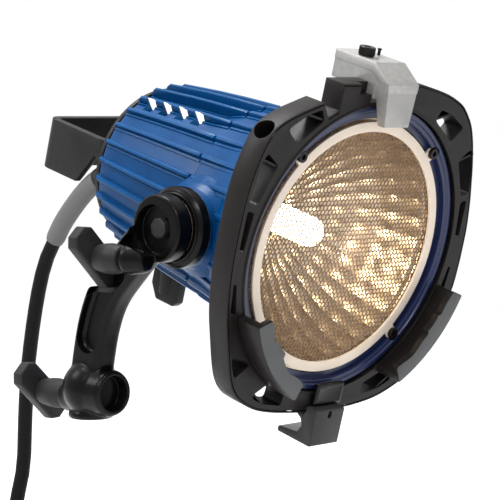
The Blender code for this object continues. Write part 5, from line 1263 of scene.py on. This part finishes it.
def make_stage():
    """Floor, white surroundings, four soft lights, and the glow in the bowl."""
    scene = bpy.context.scene
    scene.view_settings.view_transform = "Standard"
    make_world()
    make_floor()
    area_light("key", (-1.2, -0.8, 1.4), (0.6, 0.4), 26, (1.0, 0.99, 0.97))
    area_light("top", (0.0, 0.35, 1.7), (0.7, 0.7), 38)
    area_light("fill", (0.9, -1.3, 0.1), (0.8, 0.8), 3)
    area_light("back", (-1.0, 1.0, 1.3), (0.7, 0.7), 16)
    halo = bpy.data.lights.new("bowl_glow", "POINT")
    halo.energy = 0.065
    halo.color = (1.0, 0.86, 0.66)
    halo.shadow_soft_size = 0.006
    glow = bpy.data.objects.new("bowl_glow", halo)
    glow.location = LAMP @ Vector((0, 0, -8))
    scene.collection.objects.link(glow)
    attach(glow, "head")


def make_camera():
    """The photograph's own view."""
    data = bpy.data.cameras.new("photo_view")
    data.lens = CAMERA_LENS
    data.sensor_width = 36.0
    data.clip_start = 0.05
    camera = bpy.data.objects.new("photo_view", data)
    camera.location = CAMERA_PLACE
    camera.rotation_euler = CAMERA_TURN
    bpy.context.scene.collection.objects.link(camera)
    bpy.context.scene.camera = camera


# the add-on


class LightSettings(bpy.types.PropertyGroup):
    """Sizes and finishes that are read while the pieces are made."""

    paint_blue: bpy.props.FloatVectorProperty(
        name="Housing paint", description="Colour of the paint on the housing and the bell", subtype="COLOR",
        size=3, min=0.0, max=1.0, default=(0.0006, 0.044, 0.148))
    rib_height: bpy.props.FloatProperty(
        name="Rib height", description="How far the ribs stand out of the housing", subtype="DISTANCE",
        unit="LENGTH", min=0.001, max=0.0036, default=0.0034)
    mesh_pitch: bpy.props.FloatProperty(
        name="Mesh pitch", description="Width of one cell of the wire guard", subtype="DISTANCE",
        unit="LENGTH", min=0.0025, max=0.006, default=0.0031)
    mesh_wire: bpy.props.FloatProperty(
        name="Mesh wire", description="Width of the web between the cells of the wire guard",
        subtype="DISTANCE", unit="LENGTH", min=0.0004, max=0.0012, default=0.00062)
    bulb_strength: bpy.props.FloatProperty(
        name="Bulb strength", description="Strength of the glow of the bulb", subtype="FACTOR",
        unit="NONE", min=0.0, max=100.0, default=12.0)


def settings():
    """The scene's settings for the light."""
    return bpy.context.scene.open_face_light


class LIGHT_OT_camera(bpy.types.Operator):
    """Place the camera where the light is seen from its left front."""

    bl_idname = "open_face_light.camera"
    bl_label = "Camera"

    def execute(self, context):
        make_camera()
        return {"FINISHED"}


class LIGHT_OT_cable(bpy.types.Operator):
    """Lay the mains cable with its coil, tie, sleeve and plug."""

    bl_idname = "open_face_light.cable"
    bl_label = "Mains cable"

    def execute(self, context):
        make_cable()
        return {"FINISHED"}


class LIGHT_OT_housing(bpy.types.Operator):
    """Build the ribbed housing with its vents."""

    bl_idname = "open_face_light.housing"
    bl_label = "Ribbed housing"

    def execute(self, context):
        make_housing()
        return {"FINISHED"}


class LIGHT_OT_bell(bpy.types.Operator):
    """Build the front bell with its rim and pivot boss."""

    bl_idname = "open_face_light.bell"
    bl_label = "Front bell"

    def execute(self, context):
        make_bell()
        return {"FINISHED"}


class LIGHT_OT_reflector(bpy.types.Operator):
    """Build the faceted reflector bowl."""

    bl_idname = "open_face_light.reflector"
    bl_label = "Reflector"

    def execute(self, context):
        make_reflector()
        return {"FINISHED"}


class LIGHT_OT_bulb(bpy.types.Operator):
    """Build the lit bulb and its holder."""

    bl_idname = "open_face_light.bulb"
    bl_label = "Bulb"

    def execute(self, context):
        make_bulb()
        return {"FINISHED"}


class LIGHT_OT_guard(bpy.types.Operator):
    """Build the hexagonal wire guard, its ring and screws."""

    bl_idname = "open_face_light.guard"
    bl_label = "Wire guard"

    def execute(self, context):
        make_guard()
        return {"FINISHED"}


class LIGHT_OT_accessory_frame(bpy.types.Operator):
    """Build the cast frame around the mouth and its screws."""

    bl_idname = "open_face_light.accessory_frame"
    bl_label = "Accessory frame"

    def execute(self, context):
        make_frame()
        return {"FINISHED"}


class LIGHT_OT_hooks(bpy.types.Operator):
    """Build the two curved hooks that hold accessories."""

    bl_idname = "open_face_light.hooks"
    bl_label = "Accessory hooks"

    def execute(self, context):
        make_hooks()
        return {"FINISHED"}


class LIGHT_OT_latch(bpy.types.Operator):
    """Build the hinged top latch and its screw."""

    bl_idname = "open_face_light.latch"
    bl_label = "Top latch"

    def execute(self, context):
        make_latch()
        return {"FINISHED"}


class LIGHT_OT_bracket(bpy.types.Operator):
    """Build the bracket under the frame and its pad."""

    bl_idname = "open_face_light.bracket"
    bl_label = "Lower bracket"

    def execute(self, context):
        make_bracket()
        return {"FINISHED"}


class LIGHT_OT_rear(bpy.types.Operator):
    """Build the rear cover, its screws and the strap handle."""

    bl_idname = "open_face_light.rear"
    bl_label = "Rear cover"

    def execute(self, context):
        make_rear()
        return {"FINISHED"}


class LIGHT_OT_arm(bpy.types.Operator):
    """Build the curved yoke casting."""

    bl_idname = "open_face_light.arm"
    bl_label = "Yoke arm"

    def execute(self, context):
        make_arm()
        return {"FINISHED"}


class LIGHT_OT_pivot(bpy.types.Operator):
    """Build the tilt disc and its axle."""

    bl_idname = "open_face_light.pivot"
    bl_label = "Tilt pivot"

    def execute(self, context):
        make_pivot()
        return {"FINISHED"}


class LIGHT_OT_handles(bpy.types.Operator):
    """Build the tilt and stand wing handles."""

    bl_idname = "open_face_light.handles"
    bl_label = "Wing handles"

    def execute(self, context):
        make_handles()
        return {"FINISHED"}


class LIGHT_OT_focus(bpy.types.Operator):
    """Build the focus paddle under the housing."""

    bl_idname = "open_face_light.focus"
    bl_label = "Focus paddle"

    def execute(self, context):
        make_focus()
        return {"FINISHED"}


class LIGHT_OT_stage(bpy.types.Operator):
    """Set the floor, the white surroundings and the lights."""

    bl_idname = "open_face_light.stage"
    bl_label = "Stage"

    def execute(self, context):
        make_stage()
        return {"FINISHED"}


STEPS = (LIGHT_OT_camera, LIGHT_OT_cable, LIGHT_OT_housing, LIGHT_OT_bell,
         LIGHT_OT_reflector, LIGHT_OT_bulb, LIGHT_OT_guard, LIGHT_OT_accessory_frame, LIGHT_OT_hooks,
         LIGHT_OT_latch, LIGHT_OT_bracket, LIGHT_OT_rear, LIGHT_OT_arm, LIGHT_OT_pivot,
         LIGHT_OT_handles, LIGHT_OT_focus, LIGHT_OT_stage)


class LIGHT_PT_pieces(bpy.types.Panel):
    """Lists the sizes, the finishes and the pieces of the light."""

    bl_idname = "LIGHT_PT_pieces"
    bl_label = "Open-face light"
    bl_space_type = "VIEW_3D"
    bl_region_type = "UI"
    bl_category = "Light"

    def draw(self, context):
        for name in LightSettings.__annotations__:
            self.layout.prop(context.scene.open_face_light, name)
        for step in STEPS:
            self.layout.operator(step.bl_idname)


def register():
    """Register the settings, the operators and the panel."""
    for kind in (LightSettings, *STEPS, LIGHT_PT_pieces):
        bpy.utils.register_class(kind)
    bpy.types.Scene.open_face_light = bpy.props.PointerProperty(type=LightSettings)


def unregister():
    """Take them out again."""
    del bpy.types.Scene.open_face_light
    for kind in reversed((LightSettings, *STEPS, LIGHT_PT_pieces)):
        bpy.utils.unregister_class(kind)


def main():
    """Build every piece."""
    register()
    for step in STEPS:
        getattr(bpy.ops.open_face_light, step.bl_idname.split(".")[1])()


if __name__ == "__main__":
    main()
